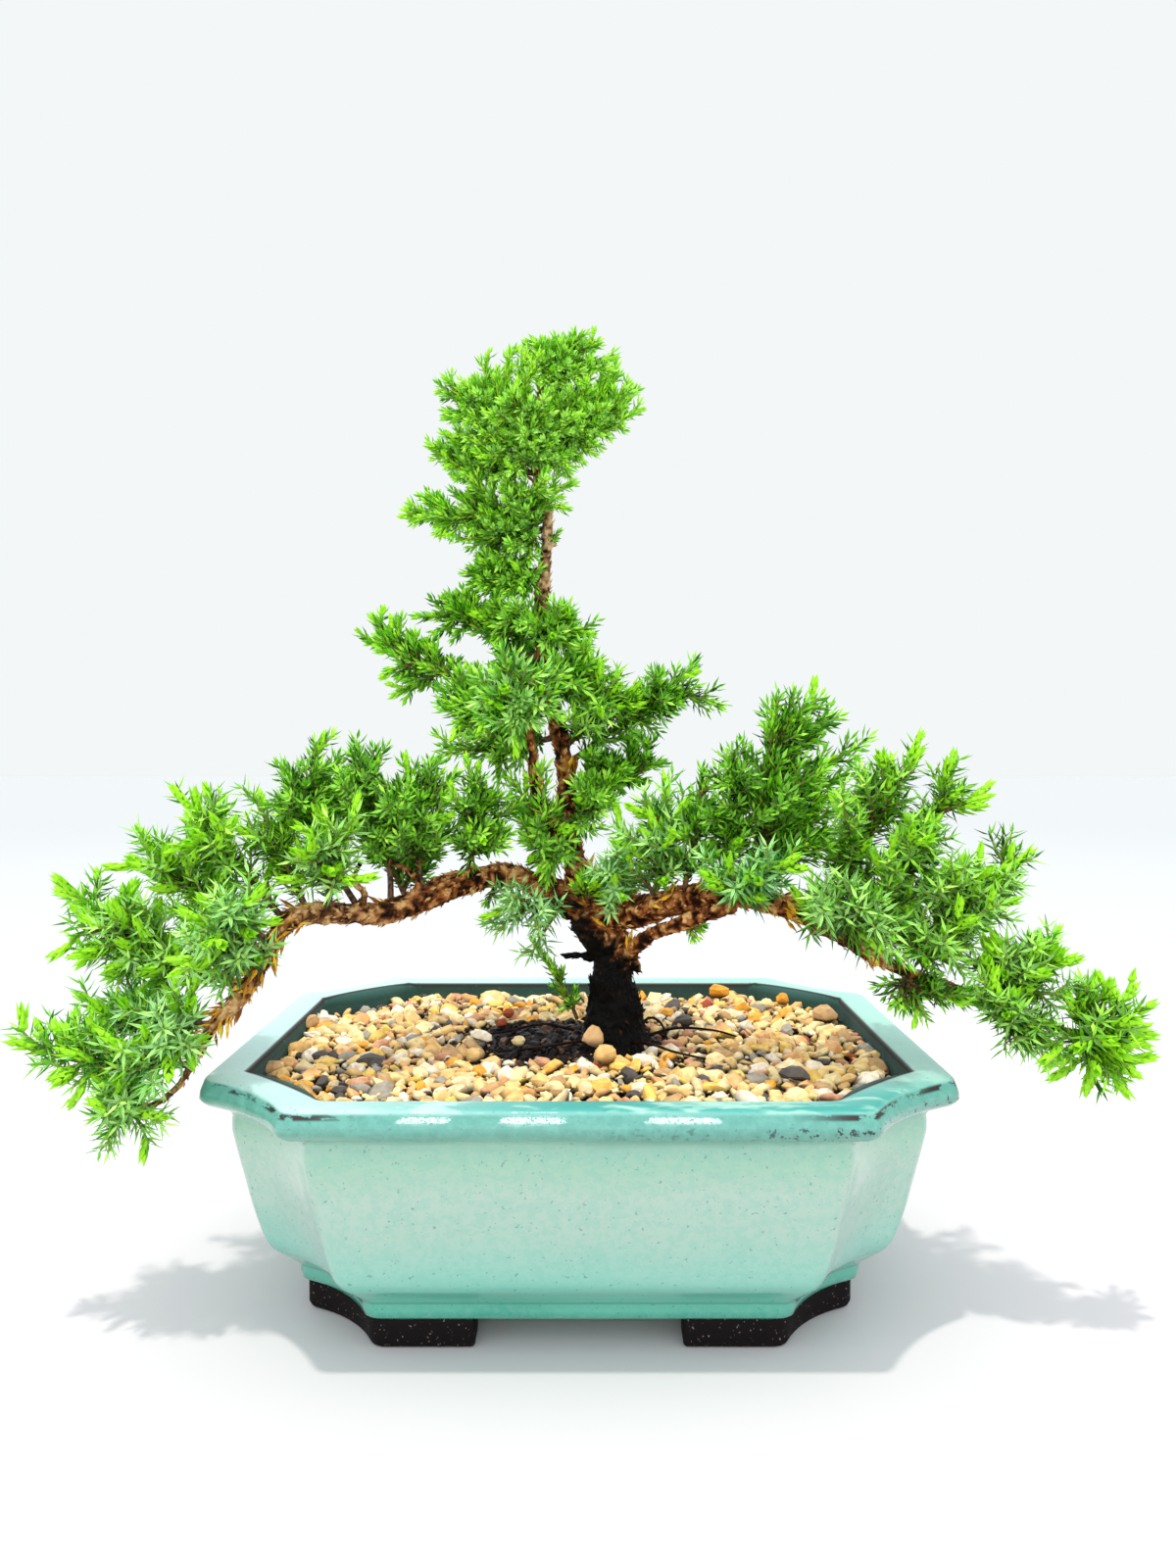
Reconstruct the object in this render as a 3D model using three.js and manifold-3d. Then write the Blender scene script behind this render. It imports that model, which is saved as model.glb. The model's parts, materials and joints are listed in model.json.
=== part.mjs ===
// A small flaky juniper bonsai in its glazed pot, at real size.
// Millimetres, +Z up. The pot's centre line is the working axis, and the ground is z = 0.
// At the end the whole is moved so that the middle of its outline stands over the origin.
import * as THREE from "three";
import { mergeVertices } from "three/addons/utils/BufferGeometryUtils.js";
import Module from "manifold-3d";

const wasm = await Module();
wasm.setup();

// Driving dimensions of the pot and its filling
const CLEAR = 0.35; // room between pieces that rest on each other
const POT = { length: 201, depth: 164, floor: 15 };
const CORNER = { cut: 28.5, taper: 0.256, hollow: 3.4, ease: 1.6, steps: 3 };
const FOOT = { height: 8, inset: 24.4, width: 11, sunk: 3, gapX: 27.3, gapY: 21 };
const DRAIN = { x: 34, radius: 6.5, sides: 14 };
const SCREEN = { side: 22, thick: 1, holes: 3, hole: 5 };
const FILL = { soilTop: 59.5, gravelLow: 62.2, wallLine: 12.6, above: 90 };
const PATCH = { x: -3, y: 5, halfX: 30, halfY: 26, shoulder: 7, crown: 15, sides: 18 };
const PATCH_TOP = { edge: 63.5, shoulder: 65.8, crown: 67 };
const PEBBLE = { pitch: 13.8, topRadius: 3.1, rise: 4, jitter: 2 };

// Driving dimensions of the leafy shoots
const TWIG = { radius: 0.95, bareShare: 0.25, barePitch: 7, leafyPitch: 3.55, budLength: 2.4 };
const ROUTE = { trials: 12, clear: 0.5, sag: 0.1, sunk: 0.8, footReach: 7 };
const FORK = { bareShare: 0.2, along: 0.3, out: 0.25, back: 0.8, foot: { inside: 2, near: 6 } };
const BARK = { uneven: 0.16, roomShare: 1.08, rootSides: 5 };
const LIP = { inset: 5, height: 66, radius: 5.5 };
const NEEDLE = { baseRadius: 0.7, clear: 0.3, openAngle: 0.95, tipAngle: 0.5 };
const BEND = { step: 2.2, rings: 6, ways: 8, tipShare: 0.3 };

// The pot's wall from the foot of the glaze, up the outside, over the lip and down to the floor.
// Each entry is [inset from the widest outline, height].
const OUTER_WALL = [
  [24.2, 8], [22.7, 9], [22.3, 13], [19.2, 16.2], [15.1, 20.7], [12.4, 29],
  [10.3, 38.4], [7.1, 54.5], [7.4, 58.6], [4.8, 61.3], [1.4, 62.6],
  [0, 65], [0.5, 68], [3, 70],
];
const INNER_WALL = [[9.6, 69.8], [11.4, 68.4], [12.2, 62], [17, 42], [24, 22], [31, 15]];

// The wood: each limb's route as [x, y, z, radius]
const TRUNK = [
  [11, 0, 52, 11], [10.9, 0, 62, 11.5], [10.8, 0, 68, 10.8], [10.4, 0, 78.9, 8.5],
  [8.9, 0, 92.6, 8.2], [5.9, 0, 101.6, 8.8], [2.3, 0, 109.2, 7.6], [-0.1, 0, 115.2, 5.5],
  [-1.6, 1, 121.2, 4.5], [-3.4, 1, 127.2, 4.2], [-4, 2, 134.7, 3.8], [-4.3, 2, 143.8, 3.6],
  [-4.9, 2, 151.3, 3.3], [-6.4, 2, 160.4, 3.2], [-9.1, 2, 170.9, 3], [-10.9, 2, 181.4, 2.8],
  [-11.8, 1, 191.8, 2.6], [-11.8, 1, 202.2, 3], [-11.1, 0, 211, 2.4], [-10.2, 0, 219.9, 2.3],
  [-10.5, 0, 228.8, 2.3], [-12.6, 1, 237.9, 2.2], [-14.5, 2, 247, 2], [-14.2, 3, 256.2, 1.7],
  [-12.1, 3, 265.1, 1.5], [-10.9, 3, 271, 1.2],
];
const SECOND_STEM = [
  [-2.5, 0, 121.9, 3.2], [-6.6, -5, 129.2, 3], [-10.3, -9, 136.2, 2.8], [-13.1, -12, 145.7, 2.4],
  [-14.4, -14, 155.8, 2], [-15.2, -15, 164.4, 1.6], [-16, -15, 171, 1.3],
];
const LEFT_LIMB = [
  [1.7, -1, 107.8, 6.6], [-6.7, -3, 112, 6], [-15.5, -4, 115.7, 5], [-24.2, -7, 118.1, 4.7],
  [-32.8, -10, 117, 4.7], [-41, -14, 114, 4.6], [-49.1, -18, 111, 4.3], [-57, -22, 109, 4],
  [-64.6, -26, 109, 3.7], [-72.1, -30, 110.1, 3.6], [-79.6, -33, 108.9, 3.4], [-83.7, -36, 104.5, 3.3],
  [-86.7, -39, 98.2, 3.1], [-89.7, -41, 92.7, 2.9], [-93.1, -43, 87.8, 2.7], [-97.5, -46, 82.4, 2.4],
  [-100.8, -48, 76.8, 2], [-103.6, -49, 71.3, 1.7], [-106.6, -50, 66.3, 1.4], [-111.7, -50, 62.4, 1.2],
  [-118, -50, 60.2, 1],
];
const RIGHT_LIMB = [
  [4.1, -2, 105.9, 6.3], [14.1, -7, 106.6, 5.5], [22.7, -11, 109.2, 5], [31.1, -15, 111.8, 4.6],
  [39.3, -19, 113.7, 4.2], [47.3, -23, 113.9, 3.8], [57.7, -28, 111.5, 3.4], [68, -32, 106.6, 3],
  [78.1, -36, 100.9, 2.8], [88.1, -39, 95.5, 2.5], [98, -42, 92.1, 2.2], [107.6, -45, 88.7, 2],
  [119.7, -48, 84.2, 1.7], [131.5, -51, 81, 1.3], [139, -52.5, 79.8, 1],
];
const LOWER_ARM = [
  [12, -3, 93, 4.6], [15.5, -7, 97.6, 3.9], [21.2, -13, 102.4, 3.2], [28.1, -17, 105.6, 3],
  [36.3, -21, 108.6, 2.6], [44.4, -24, 110.6, 2.2],
];
const LIMBS = [
  { route: TRUNK, sides: 7 },
  { route: SECOND_STEM, sides: 5 },
  { route: LEFT_LIMB, sides: 6 },
  { route: RIGHT_LIMB, sides: 6 },
  { route: LOWER_ARM, sides: 6 },
];
const ROOTS = [
  [[9, -2, 70, 4.5], [1, -7, 64, 3], [-6, -11, 58, 1.6]],
  [[13, 1, 70, 4.5], [18.5, 4, 64, 3], [22, 6, 57, 1.6]],
  [[10, -3, 70, 4], [13, -9, 63.5, 2.6], [14, -12, 57, 1.5]],
];

// The shoots: the wood that each one leaves, its needles' length, then the tip of its leader
// and the tips of the twigs that fork from the leader
const SPRAYS = [
  {
    name: "crown_peak", from: [-10.9, 3, 270], needle: 4,
    tips: [[2, 5, 284], [-9, 0, 283]],
  },
  {
    name: "crown_right", from: [-14.4, 2, 250], needle: 4,
    tips: [[20, -4, 258], [13, 3, 274], [15, -10, 263], [8, -10, 249], [5, -8, 244]],
  },
  {
    name: "crown_left_top", from: [-14.5, 2, 246], needle: 4,
    tips: [[-42, -3, 269], [-34, -12, 264], [-44, 5, 259], [-32, 10, 271], [-23, 5, 276]],
  },
  {
    name: "crown_left", from: [-12.8, 1, 240], needle: 4,
    tips: [[-46, 2, 246], [-41, -9, 250], [-39, -6, 237]],
  },
  {
    name: "crown_front", from: [-13.6, 2, 243], needle: 4,
    tips: [[-19, -19, 261], [-9, -21, 257], [-27, -19, 253], [-8, -17, 245], [-30, -16, 241]],
  },
  {
    name: "crown_back", from: [-13.5, 3, 253], needle: 4,
    tips: [[-13, 21, 275], [-27, 20, 271], [6, 16, 272], [9, 12, 260], [-28, 20, 255], [-10, 18, 251]],
  },
  {
    name: "crown_low_left", from: [-10.7, 0, 231], needle: 4,
    tips: [[-56, -2, 226], [-49, 3, 233], [-44, -7, 221]],
  },
  {
    name: "neck_left", from: [-10.3, 0, 223], needle: 4,
    tips: [[-38, -3, 219], [-35, 3, 230], [-25, -10, 223], [-27, 12, 220]],
  },
  {
    name: "neck_left_low", from: [-11.1, 0, 211], needle: 4,
    tips: [[-36, 2, 206], [-32, -6, 212], [-24, -9, 201]],
  },
  {
    name: "fan_left", from: [-9.3, 2, 172], needle: 4.5,
    tips: [[-69, 6, 191], [-67, 9, 198], [-60, 2, 173]],
  },
  {
    name: "fan_left_upper", from: [-11, 2, 183], needle: 4.5,
    tips: [[-45, 8, 204], [-38, 4, 205], [-53, 12, 199]],
  },
  {
    name: "middle_top_left", from: [-11.8, 1, 193], needle: 5,
    tips: [[-34, -4, 197], [-25, -13, 195], [-31, 8, 190]],
  },
  {
    name: "middle_top", from: [-11.4, 1.5, 186], needle: 5,
    tips: [[-2, -5, 199], [-15, -14, 195], [5, -8, 192], [-1, 9, 195]],
  },
  {
    name: "middle_right", from: [-10, 2, 176], needle: 5.5,
    tips: [[8, -6, 178], [5, 4, 184], [4, -12, 168]],
  },
  {
    name: "middle_left", from: [-8, 2, 167], needle: 5.5,
    tips: [[-45, -5, 170], [-40, -8, 180], [-40, -11, 163]],
  },
  {
    name: "middle_low_left", from: [-6.4, 2, 160], needle: 5.5,
    tips: [[-45, -8, 156], [-30, -17, 161], [-28, -5, 151]],
  },
  {
    name: "middle_front", from: [-15.4, -15, 166], needle: 5.5,
    tips: [[-22, -28, 183], [-12, -29, 179], [-30, -27, 173], [-21, -28, 158]],
  },
  {
    name: "middle_back", from: [-10.4, 2, 178], needle: 5.5,
    tips: [[-17, 24, 191], [-4, 23, 182], [-30, 20, 183]],
  },
  {
    name: "right_mid", from: [-4.9, 2, 151], needle: 5,
    tips: [[37, -4, 183], [45, -2, 171], [26, -9, 178], [32, 8, 171]],
  },
  {
    name: "right_mid_bright", from: [-5.6, 2, 156], needle: 6,
    tips: [[13, -9, 180], [18, -4, 173], [8, -15, 172]],
  },
  {
    name: "right_mid_low", from: [-4.3, 2, 144], needle: 4.5,
    tips: [[27, 2, 153], [18, 9, 146], [20, 9, 161]],
  },
  {
    name: "low_trunk_right", from: [-3.9, 2, 134], needle: 5.5,
    tips: [[13, -10, 149], [8, -17, 138], [7, 18, 142]],
  },
  {
    name: "low_trunk_left", from: [-3.2, 1, 126], needle: 5.5,
    tips: [[-19, -10, 130], [-13, -14, 120], [-20, -7, 141]],
  },
  {
    name: "bright_spray", from: [20, -10, 108.5], needle: 7,
    tips: [[26, -13, 151], [31, -17, 143], [19, -20, 136]],
  },
  {
    name: "branch_foot_spray", from: [9, -4, 106.3], needle: 6,
    tips: [[13, -17, 130], [8, -23, 123], [21, 10, 122]],
  },
  {
    name: "left_over_far", from: [-62, -25, 109], needle: 5,
    tips: [[-82, -38, 154], [-72, -34, 162], [-79, -45, 146]],
  },
  {
    name: "left_over_top", from: [-55, -21, 109.5], needle: 5,
    tips: [[-64, -28, 160], [-59, -20, 158], [-65, -46, 149]],
  },
  {
    name: "left_over_near", from: [-46, -16.5, 112], needle: 5,
    tips: [[-50, -24, 156], [-44, -14, 155], [-53, -42, 144]],
  },
  {
    name: "left_over_inner", from: [-35, -11, 116.5], needle: 5,
    tips: [[-32, -20, 155], [-23, -20, 146], [-18, -22, 134]],
  },
  {
    name: "left_over_back", from: [-50, -19, 111], needle: 5,
    tips: [[-72, -4, 147], [-55, 2, 145], [-41, 0, 136]],
  },
  {
    name: "left_bright_front", from: [-70, -29, 109.9], needle: 6.5,
    tips: [[-64, -48, 138], [-73, -60, 132], [-60, -50, 123]],
  },
  {
    name: "left_crest", from: [-76, -31.5, 109.5], needle: 6,
    tips: [[-93, -30, 147], [-87, -20, 141], [-93, -42, 137]],
  },
  {
    name: "left_crest_far", from: [-81, -34, 107.5], needle: 6.5,
    tips: [[-111, -42, 147], [-103, -34, 142], [-102, -54, 137]],
  },
  {
    name: "left_upper", from: [-84.5, -36.5, 103], needle: 6.5,
    tips: [[-122, -40, 135], [-121, -49, 129], [-117, -28, 125]],
  },
  {
    name: "left_front", from: [-88, -40, 95], needle: 6.5,
    tips: [[-92, -68, 122], [-80, -66, 123], [-92, -72, 110], [-101, -70, 102]],
  },
  {
    name: "left_reach", from: [-91, -42, 91], needle: 6.5,
    tips: [
      [-144, -42, 122], [-141, -36, 118], [-125, -51, 116], [-141, -44, 107],
      [-136, -51, 103], [-133, -37, 96],
    ],
  },
  {
    name: "left_back", from: [-86.5, -38.5, 99], needle: 6,
    tips: [[-115, -8, 121], [-130, -8, 108], [-115, -2, 102]],
  },
  {
    name: "left_low", from: [-97.5, -46, 82.4], needle: 6.5,
    tips: [[-139, -41, 89], [-131, -51, 86], [-130, -26, 89], [-107, -68, 86]],
  },
  {
    name: "left_tip", from: [-103, -49, 72.4], needle: 6.5,
    tips: [[-151, -50, 78], [-149, -46, 82], [-140, -55, 71], [-119, -66, 83]],
  },
  {
    name: "left_bottom", from: [-116, -50, 60.9], needle: 6,
    tips: [[-130, -55, 64], [-127, -50, 53], [-127, -32, 68]],
  },
  {
    name: "right_thin", from: [30, -14.5, 111.5], needle: 4.5,
    tips: [[36, -20, 152], [39, -27, 140]],
  },
  {
    name: "right_over_inner", from: [41, -20, 113.8], needle: 5,
    tips: [[48, -25, 159], [41, -32, 154], [55, -10, 152]],
  },
  {
    name: "right_over_top", from: [51, -25, 113], needle: 5.5,
    tips: [[56, -26, 173], [68, -30, 174], [76, -20, 169], [80, -32, 160]],
  },
  {
    name: "right_front_star", from: [45, -22, 113.8], needle: 6.5,
    tips: [[45, -50, 123], [57, -56, 129], [36, -44, 122]],
  },
  {
    name: "right_crest", from: [66, -31.3, 107.4], needle: 6,
    tips: [[95, -36, 162], [84, -42, 157], [92, -22, 145], [69, -52, 148]],
  },
  {
    name: "right_crest_far", from: [76, -35, 102], needle: 6,
    tips: [[103, -40, 157], [105, -30, 149], [111, -42, 146], [87, -58, 138]],
  },
  {
    name: "right_slope", from: [86, -38.5, 96.5], needle: 6,
    tips: [[125, -40, 130], [120, -34, 135], [117, -50, 118], [99, -62, 130]],
  },
  {
    name: "right_front", from: [62, -29.4, 109.5], needle: 6.5,
    tips: [[73, -68, 116], [62, -62, 120], [81, -70, 110]],
  },
  {
    name: "right_back", from: [82, -37, 99], needle: 5.5,
    tips: [[93, -4, 125], [74, -2, 131], [115, -6, 121], [121, -14, 104]],
  },
  {
    name: "right_under", from: [88.5, -39, 95.5], needle: 5,
    tips: [[93, -50, 82], [84, -46, 85]],
  },
  {
    name: "right_tip_high", from: [108, -45, 88.5], needle: 6,
    tips: [[136, -40, 100], [129, -48, 110], [121, -58, 108], [118, -26, 98]],
  },
  {
    name: "right_tip", from: [130, -50.6, 81.4], needle: 6.5,
    tips: [[152, -52, 83], [146, -46, 94], [146, -58, 71], [136, -50, 63]],
  },
  {
    name: "right_tip_low", from: [112, -46, 87], needle: 6,
    tips: [[114, -60, 78], [127, -58, 75]],
  },
  {
    name: "under_left", from: [-3, -2.4, 110], needle: 6,
    tips: [[-22, -22, 112], [-14, -26, 103], [-17, -16, 92]],
  },
];

// Small tools for vectors and repeatable chance

function at([x, y, z]) {
  return new THREE.Vector3(x, y, z);
}

// A number from 0 to 1 that looks random but is always the same for the same count
function chance(count) {
  const wave = Math.sin(count * 12.9898) * 43758.5453;
  return wave - Math.floor(wave);
}

// Solids from closed surfaces, and back

function solidFrom(vertices, faces) {
  const geometry = new THREE.BufferGeometry();
  const numbers = vertices.flatMap((v) => [v.x, v.y, v.z]);
  geometry.setAttribute("position", new THREE.Float32BufferAttribute(numbers, 3));
  geometry.setIndex(faces.flat());
  return solidOf(geometry);
}

function solidOf(geometry) {
  const bare = geometry.clone();
  bare.deleteAttribute("normal");
  bare.deleteAttribute("uv");
  const merged = mergeVertices(bare, 1e-4);
  return new wasm.Manifold(
    new wasm.Mesh({
      numProp: 3,
      vertProperties: merged.getAttribute("position").array,
      triVerts: new Uint32Array(merged.index.array),
    }),
  );
}

function geometryOf(solid) {
  const mesh = solid.getMesh();
  const geometry = new THREE.BufferGeometry();
  const numbers = new Float32Array(mesh.vertProperties);
  geometry.setAttribute("position", new THREE.BufferAttribute(numbers, 3));
  geometry.setIndex(new THREE.BufferAttribute(new Uint32Array(mesh.triVerts), 1));
  geometry.computeVertexNormals();
  return geometry;
}

function joined(solids) {
  return solids.reduce((sum, solid) => sum.add(solid));
}

function largestBody(solid) {
  return solid.decompose().reduce((best, body) => (body.volume() > best.volume() ? body : best));
}

// Rings of equal count, laid from one end to the other, with both ends closed
function loft(rings) {
  const count = rings[0].length;
  const vertices = rings.flat();
  const faces = [];
  for (let k = 0; k + 1 < rings.length; k++) {
    for (let i = 0; i < count; i++) {
      const j = (i + 1) % count;
      const [a, b, c, d] = [k * count + i, k * count + j, (k + 1) * count + j, (k + 1) * count + i];
      faces.push([a, b, c], [a, c, d]);
    }
  }
  const last = (rings.length - 1) * count;
  const ends = [rings[0], rings.at(-1)].map((ring) => {
    const middle = ring.reduce((sum, v) => sum.add(v), new THREE.Vector3()).divideScalar(count);
    return vertices.push(middle) - 1;
  });
  for (let i = 0; i < count; i++) {
    const j = (i + 1) % count;
    faces.push([ends[0], j, i], [ends[1], last + i, last + j]);
  }
  return solidFrom(vertices, faces);
}

function block(halfX, halfY, low, high) {
  const box = new THREE.BoxGeometry(2 * halfX, 2 * halfY, high - low);
  return solidOf(box.translate(0, 0, (low + high) / 2));
}

// The pot

// Its outline seen from above, anticlockwise: straight sides, and corners cut off and hollowed
function outline(inset, z) {
  const halfX = POT.length / 2 - inset;
  const halfY = POT.depth / 2 - inset;
  const cut = CORNER.cut - CORNER.taper * inset;
  const corner = [[halfX, halfY - cut - CORNER.ease]];
  for (let i = 0; i <= CORNER.steps; i++) {
    const along = (i + 0.3) / (CORNER.steps + 0.6);
    const sink = 4 * CORNER.hollow * along * (1 - along) * Math.SQRT1_2;
    corner.push([halfX - cut * along - sink, halfY - cut * (1 - along) - sink]);
  }
  corner.push([halfX - cut - CORNER.ease, halfY]);
  const turned = [...corner].reverse();
  return [
    ...corner.map(([x, y]) => new THREE.Vector3(x, y, z)),
    ...turned.map(([x, y]) => new THREE.Vector3(-x, y, z)),
    ...corner.map(([x, y]) => new THREE.Vector3(-x, -y, z)),
    ...turned.map(([x, y]) => new THREE.Vector3(x, -y, z)),
  ];
}

function drainHole(side) {
  const length = 2 * POT.floor;
  const hole = new THREE.CylinderGeometry(DRAIN.radius, DRAIN.radius, length, DRAIN.sides);
  return solidOf(hole.rotateX(Math.PI / 2).translate(side * DRAIN.x, 0, POT.floor));
}

// A band under the pot, cut through both ways so that a foot stands at each corner
function feet() {
  const top = FOOT.height + FOOT.sunk;
  const outside = loft([outline(FOOT.inset + 1.1, 0), outline(FOOT.inset, 1.2), outline(FOOT.inset, top)]);
  const inside = loft([outline(FOOT.inset + FOOT.width, -1), outline(FOOT.inset + FOOT.width, top + 1)]);
  const frontGap = block(FOOT.gapX, POT.depth, -1, FOOT.height);
  const sideGap = block(POT.length, FOOT.gapY, -1, FOOT.height);
  return outside.subtract(inside).subtract(frontGap).subtract(sideGap);
}

function pot() {
  const body = loft([...OUTER_WALL, ...INNER_WALL].map(([inset, z]) => outline(inset, z)));
  return body.add(feet()).subtract(drainHole(-1)).subtract(drainHole(1));
}

// The filling: what fits inside the wall, a clearance away from it, up to a height
function insideWall(top) {
  const wall = INNER_WALL.filter(([, z]) => z < top).map(([inset, z]) => [inset + CLEAR, z + CLEAR]);
  return loft([...wall.reverse(), [FILL.wallLine + CLEAR, top]].map(([inset, z]) => outline(inset, z)));
}

function drainScreen(side) {
  const half = SCREEN.side / 2;
  const low = POT.floor + CLEAR;
  let plate = block(half, half, low, low + SCREEN.thick);
  const pitch = SCREEN.side / (SCREEN.holes + 0.5);
  for (let i = 0; i < SCREEN.holes; i++) {
    for (let j = 0; j < SCREEN.holes; j++) {
      const hole = block(SCREEN.hole / 2, SCREEN.hole / 2, low - 1, low + SCREEN.thick + 1);
      const middle = (SCREEN.holes - 1) / 2;
      plate = plate.subtract(hole.translate((i - middle) * pitch, (j - middle) * pitch, 0));
    }
  }
  return plate.translate(side * DRAIN.x, 0, 0);
}

function screenRoom(side) {
  const half = SCREEN.side / 2 + CLEAR;
  const room = block(half, half, 0, POT.floor + SCREEN.thick + 2 * CLEAR);
  return room.translate(side * DRAIN.x, 0, 0);
}

// An oval ring round the bare soil patch
function patchRing(grow, z) {
  return Array.from({ length: PATCH.sides }, (_, i) => {
    const turn = (i / PATCH.sides) * 2 * Math.PI;
    const uneven = 1 + 0.1 * Math.sin(3 * turn + 1) + 0.05 * Math.sin(5 * turn);
    const x = PATCH.x + (PATCH.halfX * uneven + grow) * Math.cos(turn);
    const y = PATCH.y + (PATCH.halfY * uneven + grow) * Math.sin(turn);
    return new THREE.Vector3(x, y, z);
  });
}

function soil(woodRoom) {
  const mound = loft([
    patchRing(0, FILL.soilTop - 5),
    patchRing(0, PATCH_TOP.edge),
    patchRing(-PATCH.shoulder, PATCH_TOP.shoulder),
    patchRing(-PATCH.crown, PATCH_TOP.crown),
  ]);
  const whole = insideWall(FILL.soilTop).add(mound);
  return largestBody(whole.subtract(screenRoom(-1)).subtract(screenRoom(1)).subtract(woodRoom));
}

// Stones stand on a honeycomb: each is a low ring of six points, shared with its neighbours,
// and a smaller raised top of three
function stoneTops() {
  const vertices = [];
  const shared = new Map();
  const faces = [];
  const lowPoint = (x, y) => {
    const key = Math.round(x * 4) + "," + Math.round(y * 4);
    if (!shared.has(key)) {
      const count = shared.size + 1;
      const shift = (part) => (chance(count + part) - 0.5) * PEBBLE.jitter;
      const z = FILL.gravelLow + shift(0.9) * 0.4;
      shared.set(key, vertices.push(new THREE.Vector3(x + shift(0.1), y + shift(0.5), z)) - 1);
    }
    return shared.get(key);
  };
  const rowPitch = PEBBLE.pitch * Math.sin(Math.PI / 3);
  const rows = Math.ceil(POT.depth / rowPitch / 2);
  const columns = Math.ceil(POT.length / PEBBLE.pitch / 2);
  for (let row = -rows; row <= rows; row++) {
    for (let column = -columns; column <= columns; column++) {
      const x = (column + 0.5 * (Math.abs(row) % 2)) * PEBBLE.pitch;
      const y = row * rowPitch;
      const count = (row + rows) * 100 + column + columns;
      const low = [];
      for (let i = 0; i < 6; i++) {
        const turn = (i + 0.5) * (Math.PI / 3);
        const reach = PEBBLE.pitch / Math.sqrt(3);
        low.push(lowPoint(x + Math.cos(turn) * reach, y + Math.sin(turn) * reach));
      }
      const top = [0, 1, 2].map((i) => {
        const turn = (2 * i + 1) * (Math.PI / 3) + (chance(count + i / 3) - 0.5) * 0.5;
        const reach = PEBBLE.topRadius * (0.8 + 0.5 * chance(count + 0.4 + i / 3));
        const z = FILL.gravelLow + PEBBLE.rise * (0.7 + 0.5 * chance(count + 0.7 + i / 3));
        const top = new THREE.Vector3(x + Math.cos(turn) * reach, y + Math.sin(turn) * reach, z);
        return vertices.push(top) - 1;
      });
      faces.push(top);
      for (let i = 0; i < 3; i++) {
        const [near, mid, far] = [low[2 * i], low[2 * i + 1], low[(2 * i + 2) % 6]];
        faces.push([top[i], near, mid], [top[i], mid, far], [top[i], far, top[(i + 1) % 3]]);
      }
    }
  }
  return { vertices, faces };
}

// The stones' surface closed below by a skirt round its rim and a flat floor
function stoneBed() {
  const { vertices, faces } = stoneTops();
  const edges = new Set(faces.flatMap(([a, b, c]) => [a + "," + b, b + "," + c, c + "," + a]));
  const ways = [...edges].map((edge) => edge.split(",").map(Number));
  const rim = ways.filter(([a, b]) => !edges.has(b + "," + a));
  const floor = FILL.soilTop - 2;
  const below = new Map();
  for (const [a] of rim) {
    below.set(a, vertices.push(vertices[a].clone().setZ(floor)) - 1);
  }
  const middle = vertices.push(new THREE.Vector3(0, 0, floor)) - 1;
  for (const [a, b] of rim) {
    faces.push([b, a, below.get(a)], [b, below.get(a), below.get(b)], [below.get(b), below.get(a), middle]);
  }
  return solidFrom(vertices, faces);
}

// The gravel layer, held by the wall and open round the bare soil
function gravel() {
  const ring = (z) => outline(FILL.wallLine + CLEAR, z);
  const room = loft([ring(FILL.soilTop + CLEAR), ring(FILL.above)]);
  const hole = loft([patchRing(CLEAR, FILL.soilTop - 3), patchRing(CLEAR, FILL.above)]);
  return largestBody(stoneBed().intersect(room).subtract(hole));
}

// The wood

// Points along a route with a direction and two sideways directions that don't twist
function framed(points, firstSide = new THREE.Vector3(1, 0, 0)) {
  let side = firstSide;
  return points.map((point, k) => {
    const before = points[Math.max(k - 1, 0)];
    const after = points[Math.min(k + 1, points.length - 1)];
    const ahead = after.clone().sub(before).normalize();
    side = side.clone().addScaledVector(ahead, -side.dot(ahead));
    if (side.length() < 0.1) side.set(0, 1, 0).addScaledVector(ahead, -ahead.y);
    side.normalize();
    return { point, ahead, side, other: ahead.clone().cross(side) };
  });
}

function around({ point, side, other }, angle, radius) {
  return point
    .clone()
    .addScaledVector(side, Math.cos(angle) * radius)
    .addScaledVector(other, Math.sin(angle) * radius);
}

// A tapering limb with uneven bark, thicker by grow
function limb(route, sides, grow) {
  const rings = framed(route.map(at)).map((frame, k) =>
    Array.from({ length: sides }, (_, i) => {
      const bark = 1 + BARK.uneven * (chance(k * sides + i + route.length) - 0.5);
      return around(frame, (i / sides) * 2 * Math.PI, route[k][3] * bark + grow);
    }),
  );
  return loft(rings);
}

function wood(grow) {
  const limbs = LIMBS.map(({ route, sides }) => limb(route, sides, grow));
  const roots = ROOTS.map((route) => limb(route, BARK.rootSides, grow));
  return joined([...limbs, ...roots]);
}

// The leafy shoots

// Every stretch of wood, twig and needle laid so far, as tapering rods
const rods = [];

function rodOf(start, end, startRadius, endRadius) {
  const middle = start.clone().add(end).multiplyScalar(0.5);
  const reach = start.distanceTo(end) / 2 + Math.max(startRadius, endRadius);
  return { start, end, startRadius, endRadius, middle, reach };
}

function layRods(points, radii, shoot, twig) {
  points.slice(1).forEach((point, k) => {
    rods.push({ ...rodOf(points[k], point, radii[k], radii[k + 1]), shoot, twig });
  });
}

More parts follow.
